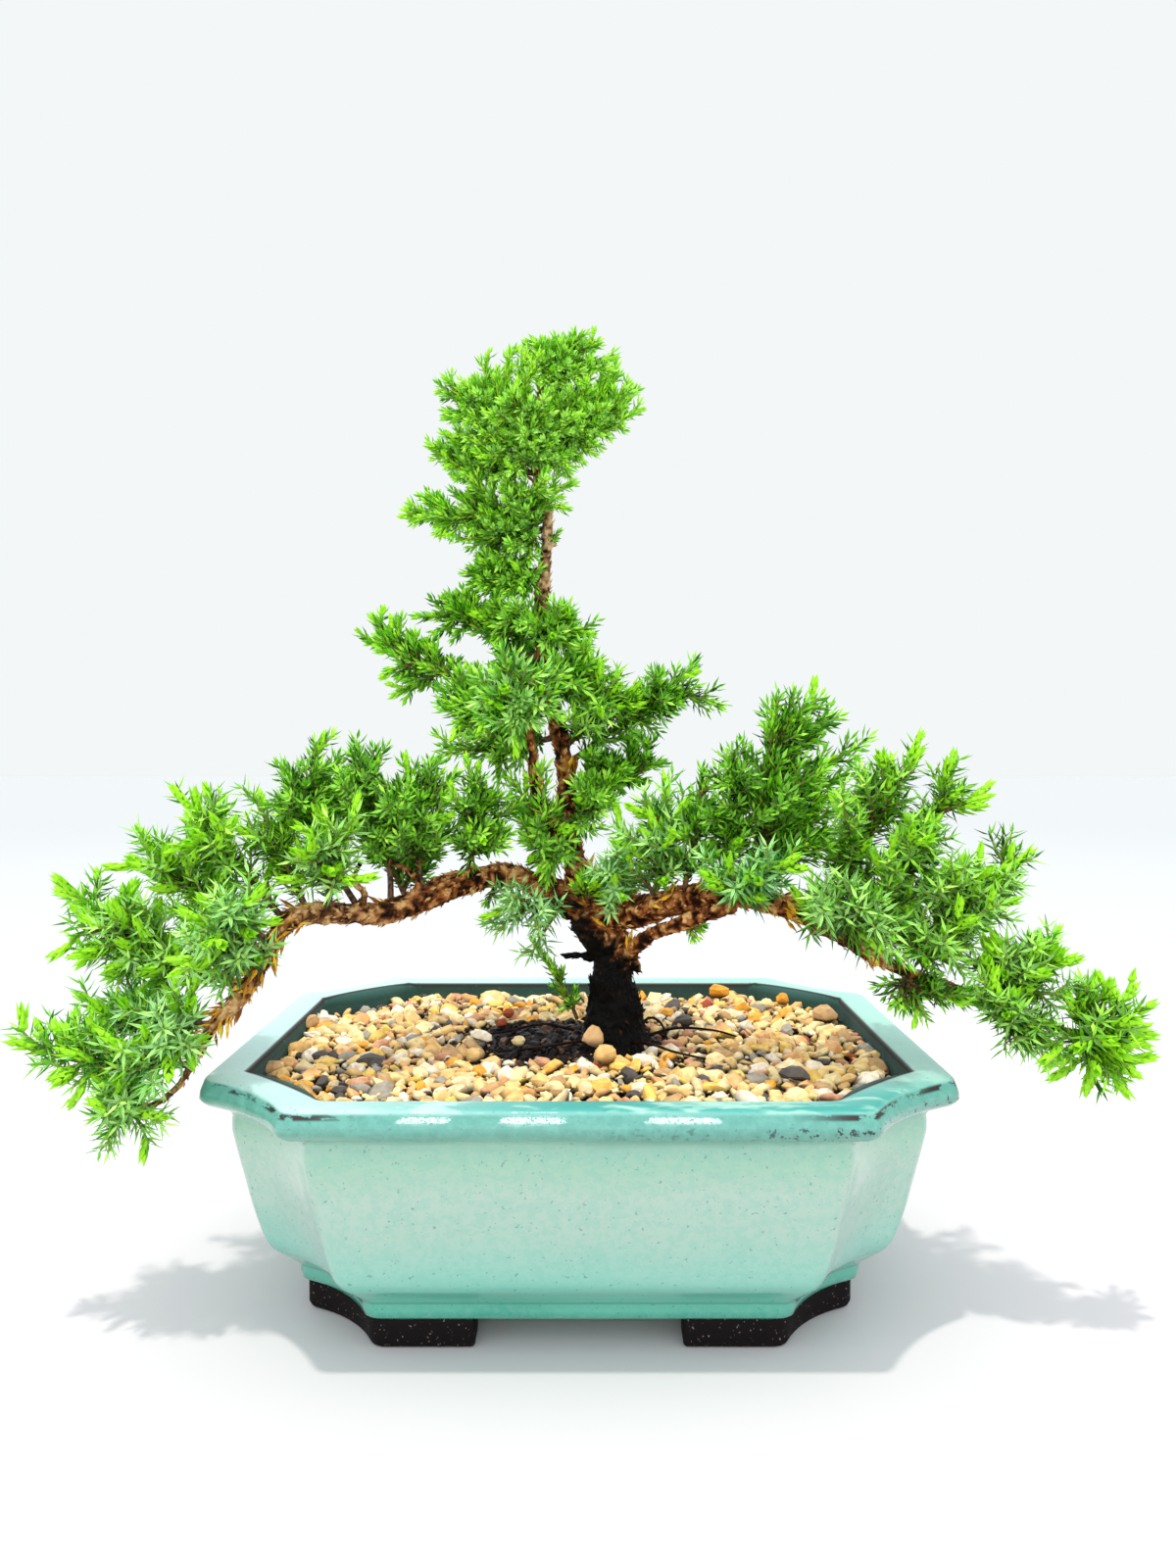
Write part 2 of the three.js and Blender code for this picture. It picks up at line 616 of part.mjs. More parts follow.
// The room between two tapering rods: less than zero where they meet
function roomBetween(p, q) {
  const { clamp, lerp } = THREE.MathUtils;
  const u = p.end.clone().sub(p.start);
  const v = q.end.clone().sub(q.start);
  const w = p.start.clone().sub(q.start);
  const [a, b, c, d, e] = [u.dot(u), u.dot(v), v.dot(v), u.dot(w), v.dot(w)];
  const spread = a * c - b * b;
  let s = spread > 1e-9 ? clamp((b * e - c * d) / spread, 0, 1) : 0;
  const t = clamp((b * s + e) / c, 0, 1);
  s = clamp((b * t - d) / a, 0, 1);
  const distance = w.addScaledVector(u, s).addScaledVector(v, -t).length();
  return distance - lerp(p.startRadius, p.endRadius, s) - lerp(q.startRadius, q.endRadius, t);
}

function isClear(rod, room, ignores) {
  return rods.every((other) => {
    if (ignores(other)) return true;
    if (rod.middle.distanceTo(other.middle) > rod.reach + other.reach + room) return true;
    return roomBetween(rod, other) > room;
  });
}

// Sideways and upward pushes that a route tries in turn, from none to the widest
const BENDS = [new THREE.Vector2()];
for (let ring = 1; ring <= BEND.rings; ring++) {
  for (let way = 0; way < BEND.ways; way++) {
    const turn = (way / BEND.ways) * 2 * Math.PI + Math.PI / 2;
    BENDS.push(new THREE.Vector2(Math.cos(turn), Math.sin(turn)).multiplyScalar(ring * BEND.step));
  }
}

// A twig's curve from its foot to its tip, pushed off its straight way by a bend
function bentCurve(start, control, tip, bend) {
  const chord = tip.clone().sub(start);
  const push = new THREE.Vector3(chord.y, -chord.x, 0).normalize().multiplyScalar(bend.x);
  push.z += bend.y;
  const end = tip.clone().addScaledVector(push, BEND.tipShare);
  return new THREE.QuadraticBezierCurve3(start, control.clone().add(push), end);
}

// Whether a twig's curve keeps clear of all the others. At its foot it may touch what it leaves.
function runsClear(curve, footRoom, leaves) {
  const points = curve.getSpacedPoints(ROUTE.trials);
  return points.slice(1).every((point, i) => {
    const way = point.distanceTo(points[0]);
    if (way < footRoom.inside) return true;
    const rod = rodOf(points[i], point, TWIG.radius, TWIG.radius);
    return isClear(rod, ROUTE.clear, (other) => way < footRoom.near && leaves(other));
  });
}

// The share of the way along a leader where a fork leaves it, behind the place nearest its tip
function forkShare(leader, tip) {
  const shares = Array.from({ length: 21 }, (_, i) => i / 20);
  const gaps = shares.map((share) => leader.getPoint(share).distanceTo(tip));
  const nearest = shares[gaps.indexOf(Math.min(...gaps))];
  return nearest - (FORK.back * Math.min(...gaps)) / leader.getLength();
}

// A twig is a column of three-cornered rings, each turned by a sixth against the last.
// A fork's first ring is the face of the leader that it grows out of.
function twigAlong(curve, bareShare, firstRing) {
  const length = curve.getLength();
  const bareGaps = Math.max(1, Math.round((length * bareShare) / TWIG.barePitch));
  const leafyGaps = Math.max(2, Math.round((length * (1 - bareShare)) / TWIG.leafyPitch));
  const shares = [];
  for (let k = 0; k < bareGaps; k++) shares.push((bareShare * k) / bareGaps);
  for (let k = 0; k <= leafyGaps; k++) shares.push(THREE.MathUtils.lerp(bareShare, 1, k / leafyGaps));
  const points = shares.map((share) => curve.getPointAt(share));
  const frames = framed(points, firstRing && firstRing[0].clone().sub(points[0]));
  const rings = frames.map((frame, k) =>
    [0, 1, 2].map((i) => around(frame, ((k + 2 * i) * Math.PI) / 3, TWIG.radius)),
  );
  if (firstRing) rings[0] = firstRing;
  return { curve, frames, rings, bareGaps, forks: new Map() };
}

// The six faces between ring k and the next, three standing on each ring, as corner places
function facesAt(k) {
  return [0, 1, 2].flatMap((i) => {
    const j = (i + 1) % 3;
    return [
      { key: 6 * k + 2 * i, stands: true, corners: [[k, i], [k, j], [k + 1, i]] },
      { key: 6 * k + 2 * i + 1, stands: false, corners: [[k + 1, i], [k, j], [k + 1, j]] },
    ];
  });
}

function middleOf(points) {
  const sum = points.reduce((total, point) => total.add(point), new THREE.Vector3());
  return sum.divideScalar(points.length);
}

// The faces of a leader near a share of its length, those that look most towards a tip first
function forkFaces(leader, share, tip) {
  const gaps = leader.frames.length - 1;
  const middleGap = THREE.MathUtils.clamp(Math.round(share * gaps - 0.5), 1, gaps - 2);
  const near = [0, -1, 1, -2, 2].map((step) => middleGap + step).filter((k) => k > 0 && k < gaps - 1);
  const faces = near.flatMap((k) =>
    facesAt(k).map(({ key, corners }) => {
      const firstRing = corners.map(([ring, i]) => leader.rings[ring][i]);
      const start = middleOf(firstRing);
      const out = start.clone().sub(leader.frames[k].point).normalize();
      const facing = out.dot(tip.clone().sub(start).normalize()) - 0.1 * Math.abs(k - middleGap);
      return { key, firstRing, start, out, ahead: leader.frames[k].ahead, facing };
    }),
  );
  const free = faces.filter(({ key, facing }) => !leader.forks.has(key) && facing > 0);
  return free.sort((p, q) => q.facing - p.facing);
}

function growFork(leader, tip, name, number) {
  const leaves = (other) => other.twig === leader.name || other.shoot === "wood";
  const faces = forkFaces(leader, forkShare(leader.curve, tip), tip);
  for (const bend of BENDS) {
    for (const { key, firstRing, start, out, ahead } of faces) {
      const way = start.distanceTo(tip);
      const control = start.clone().addScaledVector(ahead, FORK.along * way);
      control.addScaledVector(out, FORK.out * way);
      const curve = bentCurve(start, control, tip, bend);
      if (!runsClear(curve, FORK.foot, leaves)) continue;
      const fork = { ...twigAlong(curve, FORK.bareShare, firstRing), name: name + number };
      leader.forks.set(key, fork);
      const points = fork.frames.map((frame) => frame.point);
      layRods(points, points.map(() => TWIG.radius), name, fork.name);
      return;
    }
  }
  throw new Error(name + " has no room for fork " + number);
}

function woodRadiusAt(point) {
  const gapTo = (rod) => rod.middle.distanceTo(point);
  const nearest = rods
    .filter((rod) => rod.shoot === "wood")
    .reduce((best, rod) => (gapTo(rod) < gapTo(best) ? rod : best));
  return nearest.startRadius;
}

function growLeader({ name, from, tips }) {
  const foot = at(from);
  const tip = at(tips[0]);
  const control = foot.clone().lerp(tip, 0.5);
  control.z -= ROUTE.sag * foot.distanceTo(tip);
  const inside = woodRadiusAt(foot) + ROUTE.sunk;
  const leaves = (other) => other.shoot === "wood";
  const curves = BENDS.map((bend) => bentCurve(foot, control, tip, bend));
  const curve = curves.find((trial) => runsClear(trial, { inside, near: inside + ROUTE.footReach }, leaves));
  if (!curve) throw new Error(name + " finds no way clear of its neighbours");
  const leader = { ...twigAlong(curve, TWIG.bareShare), name: name + 0 };
  const points = leader.frames.map((frame) => frame.point);
  layRods(points, points.map(() => TWIG.radius), name, leader.name);
  return leader;
}

// A needle stands on a face of the stem and leans forward, more so towards the twig's tip
function needleOn(corners, frame, leafShare, length) {
  const foot = middleOf(corners);
  const out = foot.clone().sub(frame.point);
  out.addScaledVector(frame.ahead, -out.dot(frame.ahead)).normalize();
  const lean = THREE.MathUtils.lerp(NEEDLE.openAngle, NEEDLE.tipAngle, leafShare);
  const end = foot
    .clone()
    .addScaledVector(out, Math.sin(lean) * length)
    .addScaledVector(frame.ahead, Math.cos(lean) * length);
  return rodOf(foot, end, NEEDLE.baseRadius, 0);
}

// Adds a twig's faces to the shoot's surface, with its needles and forks raised from them
function addTwig(surface, twig, shoot, length, firstRing) {
  const { vertices, faces } = surface;
  const places = twig.rings.map((ring) => ring.map((v) => vertices.push(v) - 1));
  if (firstRing) places[0] = firstRing;
  else faces.push([...places[0]].reverse());
  const leafyGaps = places.length - 1 - twig.bareGaps;
  for (let k = 0; k + 1 < places.length; k++) {
    for (const { key, stands, corners } of facesAt(k)) {
      const face = corners.map(([ring, i]) => places[ring][i]);
      const fork = twig.forks.get(key);
      if (fork) {
        addTwig(surface, fork, shoot, length, face);
        continue;
      }
      faces.push(face);
      if (!stands || k < twig.bareGaps) continue;
      const leafShare = (k - twig.bareGaps) / (leafyGaps - 1);
      const feet = face.map((v) => vertices[v]);
      const needle = needleOn(feet, twig.frames[k], leafShare, length);
      if (isClear(needle, NEEDLE.clear, (other) => other.twig === twig.name)) {
        rods.push({ ...needle, shoot, twig: twig.name });
        raise(surface, needle.end);
      }
    }
  }
  const { point, ahead } = twig.frames.at(-1);
  faces.push(places.at(-1));
  raise(surface, point.clone().addScaledVector(ahead, TWIG.budLength));
}

// Draws the last face of a surface out to a point
function raise({ vertices, faces }, end) {
  const [a, b, c] = faces.pop();
  const tip = vertices.push(end) - 1;
  faces.push([a, b, tip], [b, c, tip], [c, a, tip]);
}

// What the shoots keep clear of: the wood, and the pot's lip
function layWoodRods() {
  for (const { route } of LIMBS) {
    const radii = route.map(([, , , radius]) => radius * BARK.roomShare);
    layRods(route.map(at), radii, "wood", "wood");
  }
  const lip = outline(LIP.inset, LIP.height);
  lip.push(lip[0]);
  layRods(lip, lip.map(() => LIP.radius), "pot", "pot");
}

// All the stems of all shoots come first, so that no needle takes the place of a stem
function shoots(woodRoom) {
  layWoodRods();
  const leaders = SPRAYS.map(growLeader);
  SPRAYS.forEach(({ name, tips }, i) => {
    tips.slice(1).forEach((tip, j) => growFork(leaders[i], at(tip), name, j + 1));
  });
  return SPRAYS.map(({ name, needle }, i) => {
    const surface = { vertices: [], faces: [] };
    addTwig(surface, leaders[i], name, needle);
    const solid = solidFrom(surface.vertices, surface.faces);
    return { name, solid: largestBody(solid.subtract(woodRoom)) };
  });
}

// Finishes

function finish(color, roughness) {
  return new THREE.MeshStandardMaterial({ color, roughness, metalness: 0 });
}

const FINISHES = {
  glaze: finish(0x86c9bd, 0.18),
  gravel: finish(0xcdb48d, 0.7),
  soil: finish(0x2b2320, 0.9),
  plastic: finish(0x1d1f20, 0.5),
  bark: finish(0x6b4a33, 0.85),
  needles: finish(0x4f9a3c, 0.5),
};

function piece(name, solid, material) {
  const mesh = new THREE.Mesh(geometryOf(solid), material);
  mesh.name = name;
  return mesh;
}

const woodRoom = wood(CLEAR);
const bonsai = new THREE.Group();
bonsai.add(
  piece("pot", pot(), FINISHES.glaze),
  piece("drain_screen_left", drainScreen(-1), FINISHES.plastic),
  piece("drain_screen_right", drainScreen(1), FINISHES.plastic),
  piece("soil", soil(woodRoom), FINISHES.soil),
  piece("gravel", gravel(), FINISHES.gravel),
  piece("trunk", wood(0), FINISHES.bark),
  ...shoots(woodRoom).map(({ name, solid }) => piece("spray_" + name, solid, FINISHES.needles)),
);

const outlineBox = new THREE.Box3().setFromObject(bonsai);
const middle = outlineBox.getCenter(new THREE.Vector3());
bonsai.position.set(-middle.x, -middle.y, 0);

export default bonsai;
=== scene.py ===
# The looks of a small flaky juniper bonsai in its glazed pot.
# Shapes are worked out in millimetres round the pot's centre line, and written in metres.
import json
import math
import random

import bpy
import numpy as np
from mathutils import Euler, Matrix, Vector, noise
from mathutils.kdtree import KDTree

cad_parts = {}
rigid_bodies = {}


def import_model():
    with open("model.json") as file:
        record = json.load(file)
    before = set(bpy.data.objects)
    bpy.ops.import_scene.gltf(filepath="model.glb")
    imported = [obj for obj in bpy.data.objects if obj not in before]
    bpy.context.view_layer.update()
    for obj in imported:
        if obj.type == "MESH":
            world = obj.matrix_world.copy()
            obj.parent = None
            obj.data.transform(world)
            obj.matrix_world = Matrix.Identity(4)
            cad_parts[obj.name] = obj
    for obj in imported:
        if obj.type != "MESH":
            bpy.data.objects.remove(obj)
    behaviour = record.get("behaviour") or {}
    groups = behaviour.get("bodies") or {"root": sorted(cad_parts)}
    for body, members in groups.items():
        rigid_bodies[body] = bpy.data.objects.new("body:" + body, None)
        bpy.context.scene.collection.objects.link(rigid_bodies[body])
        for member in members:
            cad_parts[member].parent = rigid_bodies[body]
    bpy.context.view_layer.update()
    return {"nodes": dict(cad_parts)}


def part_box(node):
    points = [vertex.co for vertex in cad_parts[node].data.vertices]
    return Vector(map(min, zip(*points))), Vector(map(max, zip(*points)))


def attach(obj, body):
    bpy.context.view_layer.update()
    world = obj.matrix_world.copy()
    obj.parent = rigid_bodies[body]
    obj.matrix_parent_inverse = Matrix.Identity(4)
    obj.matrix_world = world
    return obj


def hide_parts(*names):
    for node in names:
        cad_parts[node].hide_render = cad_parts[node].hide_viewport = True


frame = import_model()

MM = 0.001
GOLDEN_ANGLE = math.pi * (3 - math.sqrt(5))
pot_low, pot_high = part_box("pot")
POT_X = (pot_low.x + pot_high.x) / 2
POT_Y = (pot_low.y + pot_high.y) / 2

# The pot
POT_LENGTH = 201
POT_DEPTH = 164
POT_HEIGHT = 70
POT_FLOOR = 15
CORNER_CUT = 28.5
CORNER_TAPER = 0.256
CORNER_HOLLOW = 3.4
CORNER_STEPS = 10
ARRIS_EASE = 3.0
ARRIS_STEPS = 5
SIDE_STEPS = 6
PROFILE_STEP = 1.6
WALL_SHARP = 50
# Stretches of the lip's front that kept their gloss: middle and half length
GLEAMS = ((-37.4, 7.5), (-11.5, 9.2), (24.2, 10.4))
DRAIN_X = 34
DRAIN_RADIUS = 6.5
DRAIN_SIDES = 32
FOOT_INSET = 24.4
FOOT_WIDTH = 11
FOOT_TOP = 11
FOOT_GAP_X = 27.3
FOOT_GAP_Y = 21
FOOT_EDGE = 1.6
FOOT_WEAR = 0.8

# The pot's profile, as the inset from its widest outline and the height
OUTER_WALL = (
    (24.2, 8), (23.0, 9), (22.5, 11), (22.3, 13), (19.2, 16.2), (15.1, 20.7), (12.4, 29),
    (10.3, 38.4), (7.1, 54.5), (7.3, 58.4), (4.9, 61.2), (1.6, 62.4),
    (0.1, 64.3), (0.3, 65.9), (0.55, 66.6), (1.35, 68.8), (1.55, 69.2), (2.5, 69.8),
)
INNER_WALL = ((6, 70.1), (9.4, 69.7), (11.4, 68.2), (12.2, 62), (17, 42), (24, 22), (29, 15.6), (33, 15))

# The filling
WALL_ROOM = 0.35
SOIL_LOW = 16.8
SOIL_TOP = 61.6
PATCH_X = -6
PATCH_Y = 7
PATCH_HALF_X = 31
PATCH_HALF_Y = 27
PATCH_CROWN = 67
SOIL_RINGS = 44
GRAVEL_INSET = 13.4
GRAVEL_CELL = 2.5

# Crumbs of the bare soil: spacing, smallest and largest, and lumps
CRUMBS = (1.8, 1.0, 5.4, 1.0)
CRUMB_ROOM = 1.15
# Layers of stones: name, height, how far they keep off the bare soil, spacing, smallest and
# largest stone, and lumps
STONE_LAYERS = (
    ("gravel_under", 62.0, 0.98, 3.6, 3.6, 5.8, 1.6),
    ("gravel_top", 64.2, 1.04, 3.5, 3.4, 8.6, 2.8),
    ("gravel_grit", 64.2, 0.88, 3.1, 1.4, 2.8, 0.8),
)
STONE_KINDS = 7
STONE_CUTS = 7
STONE_SHARP = 28
STONE_LUMP_SCALE = 260
STONES_AT_MOST = 2e6
BIG_STONE = (4, 7)
SMALL_STONE = (2, 5)

# Single stones: middle, length, width and height, turn and lean in degrees, and tone
LONE_STONES = (
    ((3.7, -20, 72.2), (6.6, 2.6, 6.4), 8, -18, 0.57),
    ((7.3, -24.5, 68.6), (6.2, 5.4, 5.6), 30, 0, 0.3),
    ((-24, 29, 67.8), (4.2, 3.6, 3.4), 20, 0, 0.99),
    ((-25.3, 14, 68.4), (4.4, 3.2, 3.0), 60, 0, 0.99),
    ((-30.8, 1.5, 67.2), (9.5, 4.2, 3.6), -50, 0, 0.48),
    ((81.5, 30, 67.8), (9.6, 6.5, 5.6), -25, 10, 0.59),
    ((59, -41, 67.4), (9, 5.5, 3.4), -25, 15, 0.845),
    ((71, 52, 67.8), (4.2, 4, 4), 15, 0, 0.44),
    ((50, 63, 68.2), (7, 5, 5.6), 10, 0, 0.44),
    ((-88, 20, 67), (6, 5, 5), 40, 0, 0.6),
    ((-18.6, -8, 68), (4.6, 3.4, 3), 40, 0, 0.1),
)

# The wood: each limb's route as x, y, z and radius
TRUNK = (
    (11, 0, 52, 11), (10.9, 0, 62, 11.5), (10.8, 0, 68, 10.8), (10.6, 0, 76, 9),
    (10, 0, 86, 7.4), (9.2, 0, 93.5, 7.2), (6.2, 0, 101, 8.8), (2.3, 0, 109.2, 7.6), (-0.1, 0, 115.2, 5.5),
    (-1.6, 1, 121.2, 4.5), (-3.4, 1, 127.2, 4.2), (-4, 2, 134.7, 3.8), (-4.3, 2, 143.8, 3.6),
    (-4.9, 2, 151.3, 3.3), (-6.4, 2, 160.4, 3.2), (-9.1, 2, 170.9, 3), (-10.9, 2, 181.4, 2.8),
    (-11.8, 1, 191.8, 2.6), (-11.8, 1, 202.2, 3), (-11.1, 0, 211, 2.4), (-10.2, 0, 219.9, 2.3),
    (-10.5, 0, 228.8, 2.3), (-12.6, 1, 237.9, 2.2), (-14.5, 2, 247, 2), (-14.2, 3, 256.2, 1.7),
    (-12.1, 3, 265.1, 1.5), (-10.9, 3, 271, 1.2),
)
SECOND_STEM = (
    (-2.5, 0, 121.9, 3.2), (-6.6, -5, 129.2, 3), (-10.3, -9, 136.2, 2.8), (-13.1, -12, 145.7, 2.4),
    (-14.4, -14, 155.8, 2), (-15.2, -15, 164.4, 1.6), (-16, -15, 171, 1.3),
)
LEFT_LIMB = (
    (1.7, -1, 107.8, 6.2), (-6.7, -3, 112, 5.2), (-15.5, -4, 115.7, 4.3), (-24.2, -7, 118.1, 4.1),
    (-32.8, -10, 117, 4.4), (-41, -14, 114, 4.6), (-49.1, -18, 111, 4.3), (-57, -22, 109, 4),
    (-64.6, -26, 109, 3.7), (-72.1, -30, 110.1, 3.6), (-79.6, -33, 108.9, 3.4), (-83.7, -36, 104.5, 3.3),
    (-86.7, -39, 98.2, 3.1), (-89.7, -41, 92.7, 2.9), (-93.1, -43, 87.8, 2.7), (-97.5, -46, 82.4, 2.4),
    (-100.8, -48, 76.8, 2), (-103.6, -49, 71.3, 1.7), (-106.6, -50, 66.3, 1.4), (-111.7, -50, 62.4, 1.2),
    (-118, -50, 60.2, 1),
)
RIGHT_LIMB = (
    (4.1, -2, 105.9, 6.3), (14.1, -7, 106.6, 5.5), (22.7, -11, 109.2, 5), (31.1, -15, 111.8, 4.6),
    (39.3, -19, 113.7, 4.2), (47.3, -23, 113.9, 3.8), (57.7, -28, 111.5, 3.4), (68, -32, 106.6, 3),
    (78.1, -36, 100.9, 2.8), (88.1, -39, 95.5, 2.5), (98, -42, 92.1, 2.2), (107.6, -45, 88.7, 2),
    (119.7, -48, 84.2, 1.7), (131.5, -51, 81, 1.3), (139, -52.5, 79.8, 1),
)
LOWER_ARM = (
    (11, -3, 91, 3.6), (15.8, -8, 95.8, 2.9), (21.2, -13, 101.2, 2.7), (28.1, -17, 104.6, 2.6),
    (36.3, -21, 108.2, 2.6), (44.4, -24, 110.6, 2.2),
)
ROOTS = (
    ((9, -2, 70, 4.5), (1, -7, 64, 3), (-6, -11, 58, 1.6)),
    ((13, 1, 70, 4.5), (18.5, 4, 64, 3), (22, 6, 57, 1.6)),
    ((10, -3, 70, 4), (13, -9, 63.5, 2.6), (14, -12, 57, 1.5)),
)
STUBS = (
    ((3.5, 0, 92, 2), (-1, -1, 92.9, 1.3), (-5, -2, 92.7, 0.8)),
    ((13, 0, 91, 3), (16.4, -1, 90, 2.4), (18.2, -1, 88, 1.3)),
    ((-11.8, 1, 203, 2), (-11.9, -0.5, 203.5, 2.9), (-11.6, -1, 206, 2)),
    ((-10.2, 0, 219, 2), (-8.6, -0.6, 218.5, 1.7), (-7.4, -0.8, 218, 1)),
    ((-49, -18, 112, 2.2), (-47, -19, 117, 1.6), (-50, -20, 121, 1.3), (-55, -21, 124, 0.9)),
    ((-46, -17, 112, 1.8), (-41, -18, 116, 1.3), (-35, -19, 118, 1.1), (-31, -20, 122, 0.8)),
    ((-63, -26, 110, 2.0), (-61, -27, 115, 1.4), (-64, -28, 119, 1.1), (-62, -28, 124, 0.8)),
)
LIMBS = (TRUNK, SECOND_STEM, LEFT_LIMB, RIGHT_LIMB, LOWER_ARM) + ROOTS + STUBS
# Wiry roots, as x, y and z
FINE_ROOTS = (
    ((17, 3, 67), (21, 3, 72.5), (25, 2, 71), (27, 1, 65.5), (28, 0, 62)),
    ((19, 5, 66), (30, 6, 68.6), (42, 8, 67.4), (50, 9, 65)),
    ((3, -6, 68), (-4, -12, 68.5), (-14, -14, 67.5), (-24, -12, 66)),
    ((15, -6, 67), (20, -12, 68.6), (27, -18, 67.6), (36, -24, 67)),
    ((-2, 2, 69), (-12, 6, 70), (-22, 5, 68), (-31, 8, 66)),
)
# The relief of the bark stands on this share of the radius, less a little
BARK_SHARE = 0.85
BARK_ROOM = 0.5
WOOD_VOXEL = 0.7

# Flakes of bark and dry leaves: how many stand on a square metre where they are thickest,
# and their smallest and largest lengths
BARK_FLAKES = (420000, 0.8, 2.2)
DRY_LEAVES = (420000, 2.0, 5.6)
# Places where dry leaves cling: middle and reach
DRY_PLACES = (
    ((-85, -37, 101), 7), ((-89, -41, 93), 9), ((-96, -45, 84), 9), ((-79, -33, 109), 5),
    ((-13, 1, 237), 5), ((-12, 1, 206), 2.5), ((24, -12, 113), 6),
    ((12, -6, 110), 5), ((14, -8, 97), 3), ((36, -18, 115), 4),
    ((2, -1, 116), 4), ((-2, -1, 108), 5), ((5, -8, 112), 8),
    ((-10, 2, 177), 5), ((-4, 2, 150), 4), ((-58, -23, 111), 3), ((60, -29, 112), 7), ((80, -36, 101), 6),
)
LIMB_SIDES = 20
LIMB_STEP = 1.0
LIMB_THINNEST = 0.7
LIMB_UNEVEN = 0.22
ROOT_SIDES = 6
ROOT_STEP = 1.5
# A wiry root's radius at its foot, and how much less it is at its tip
ROOT_THICK = (0.5, 0.2)
ROOT_WET = 0.8

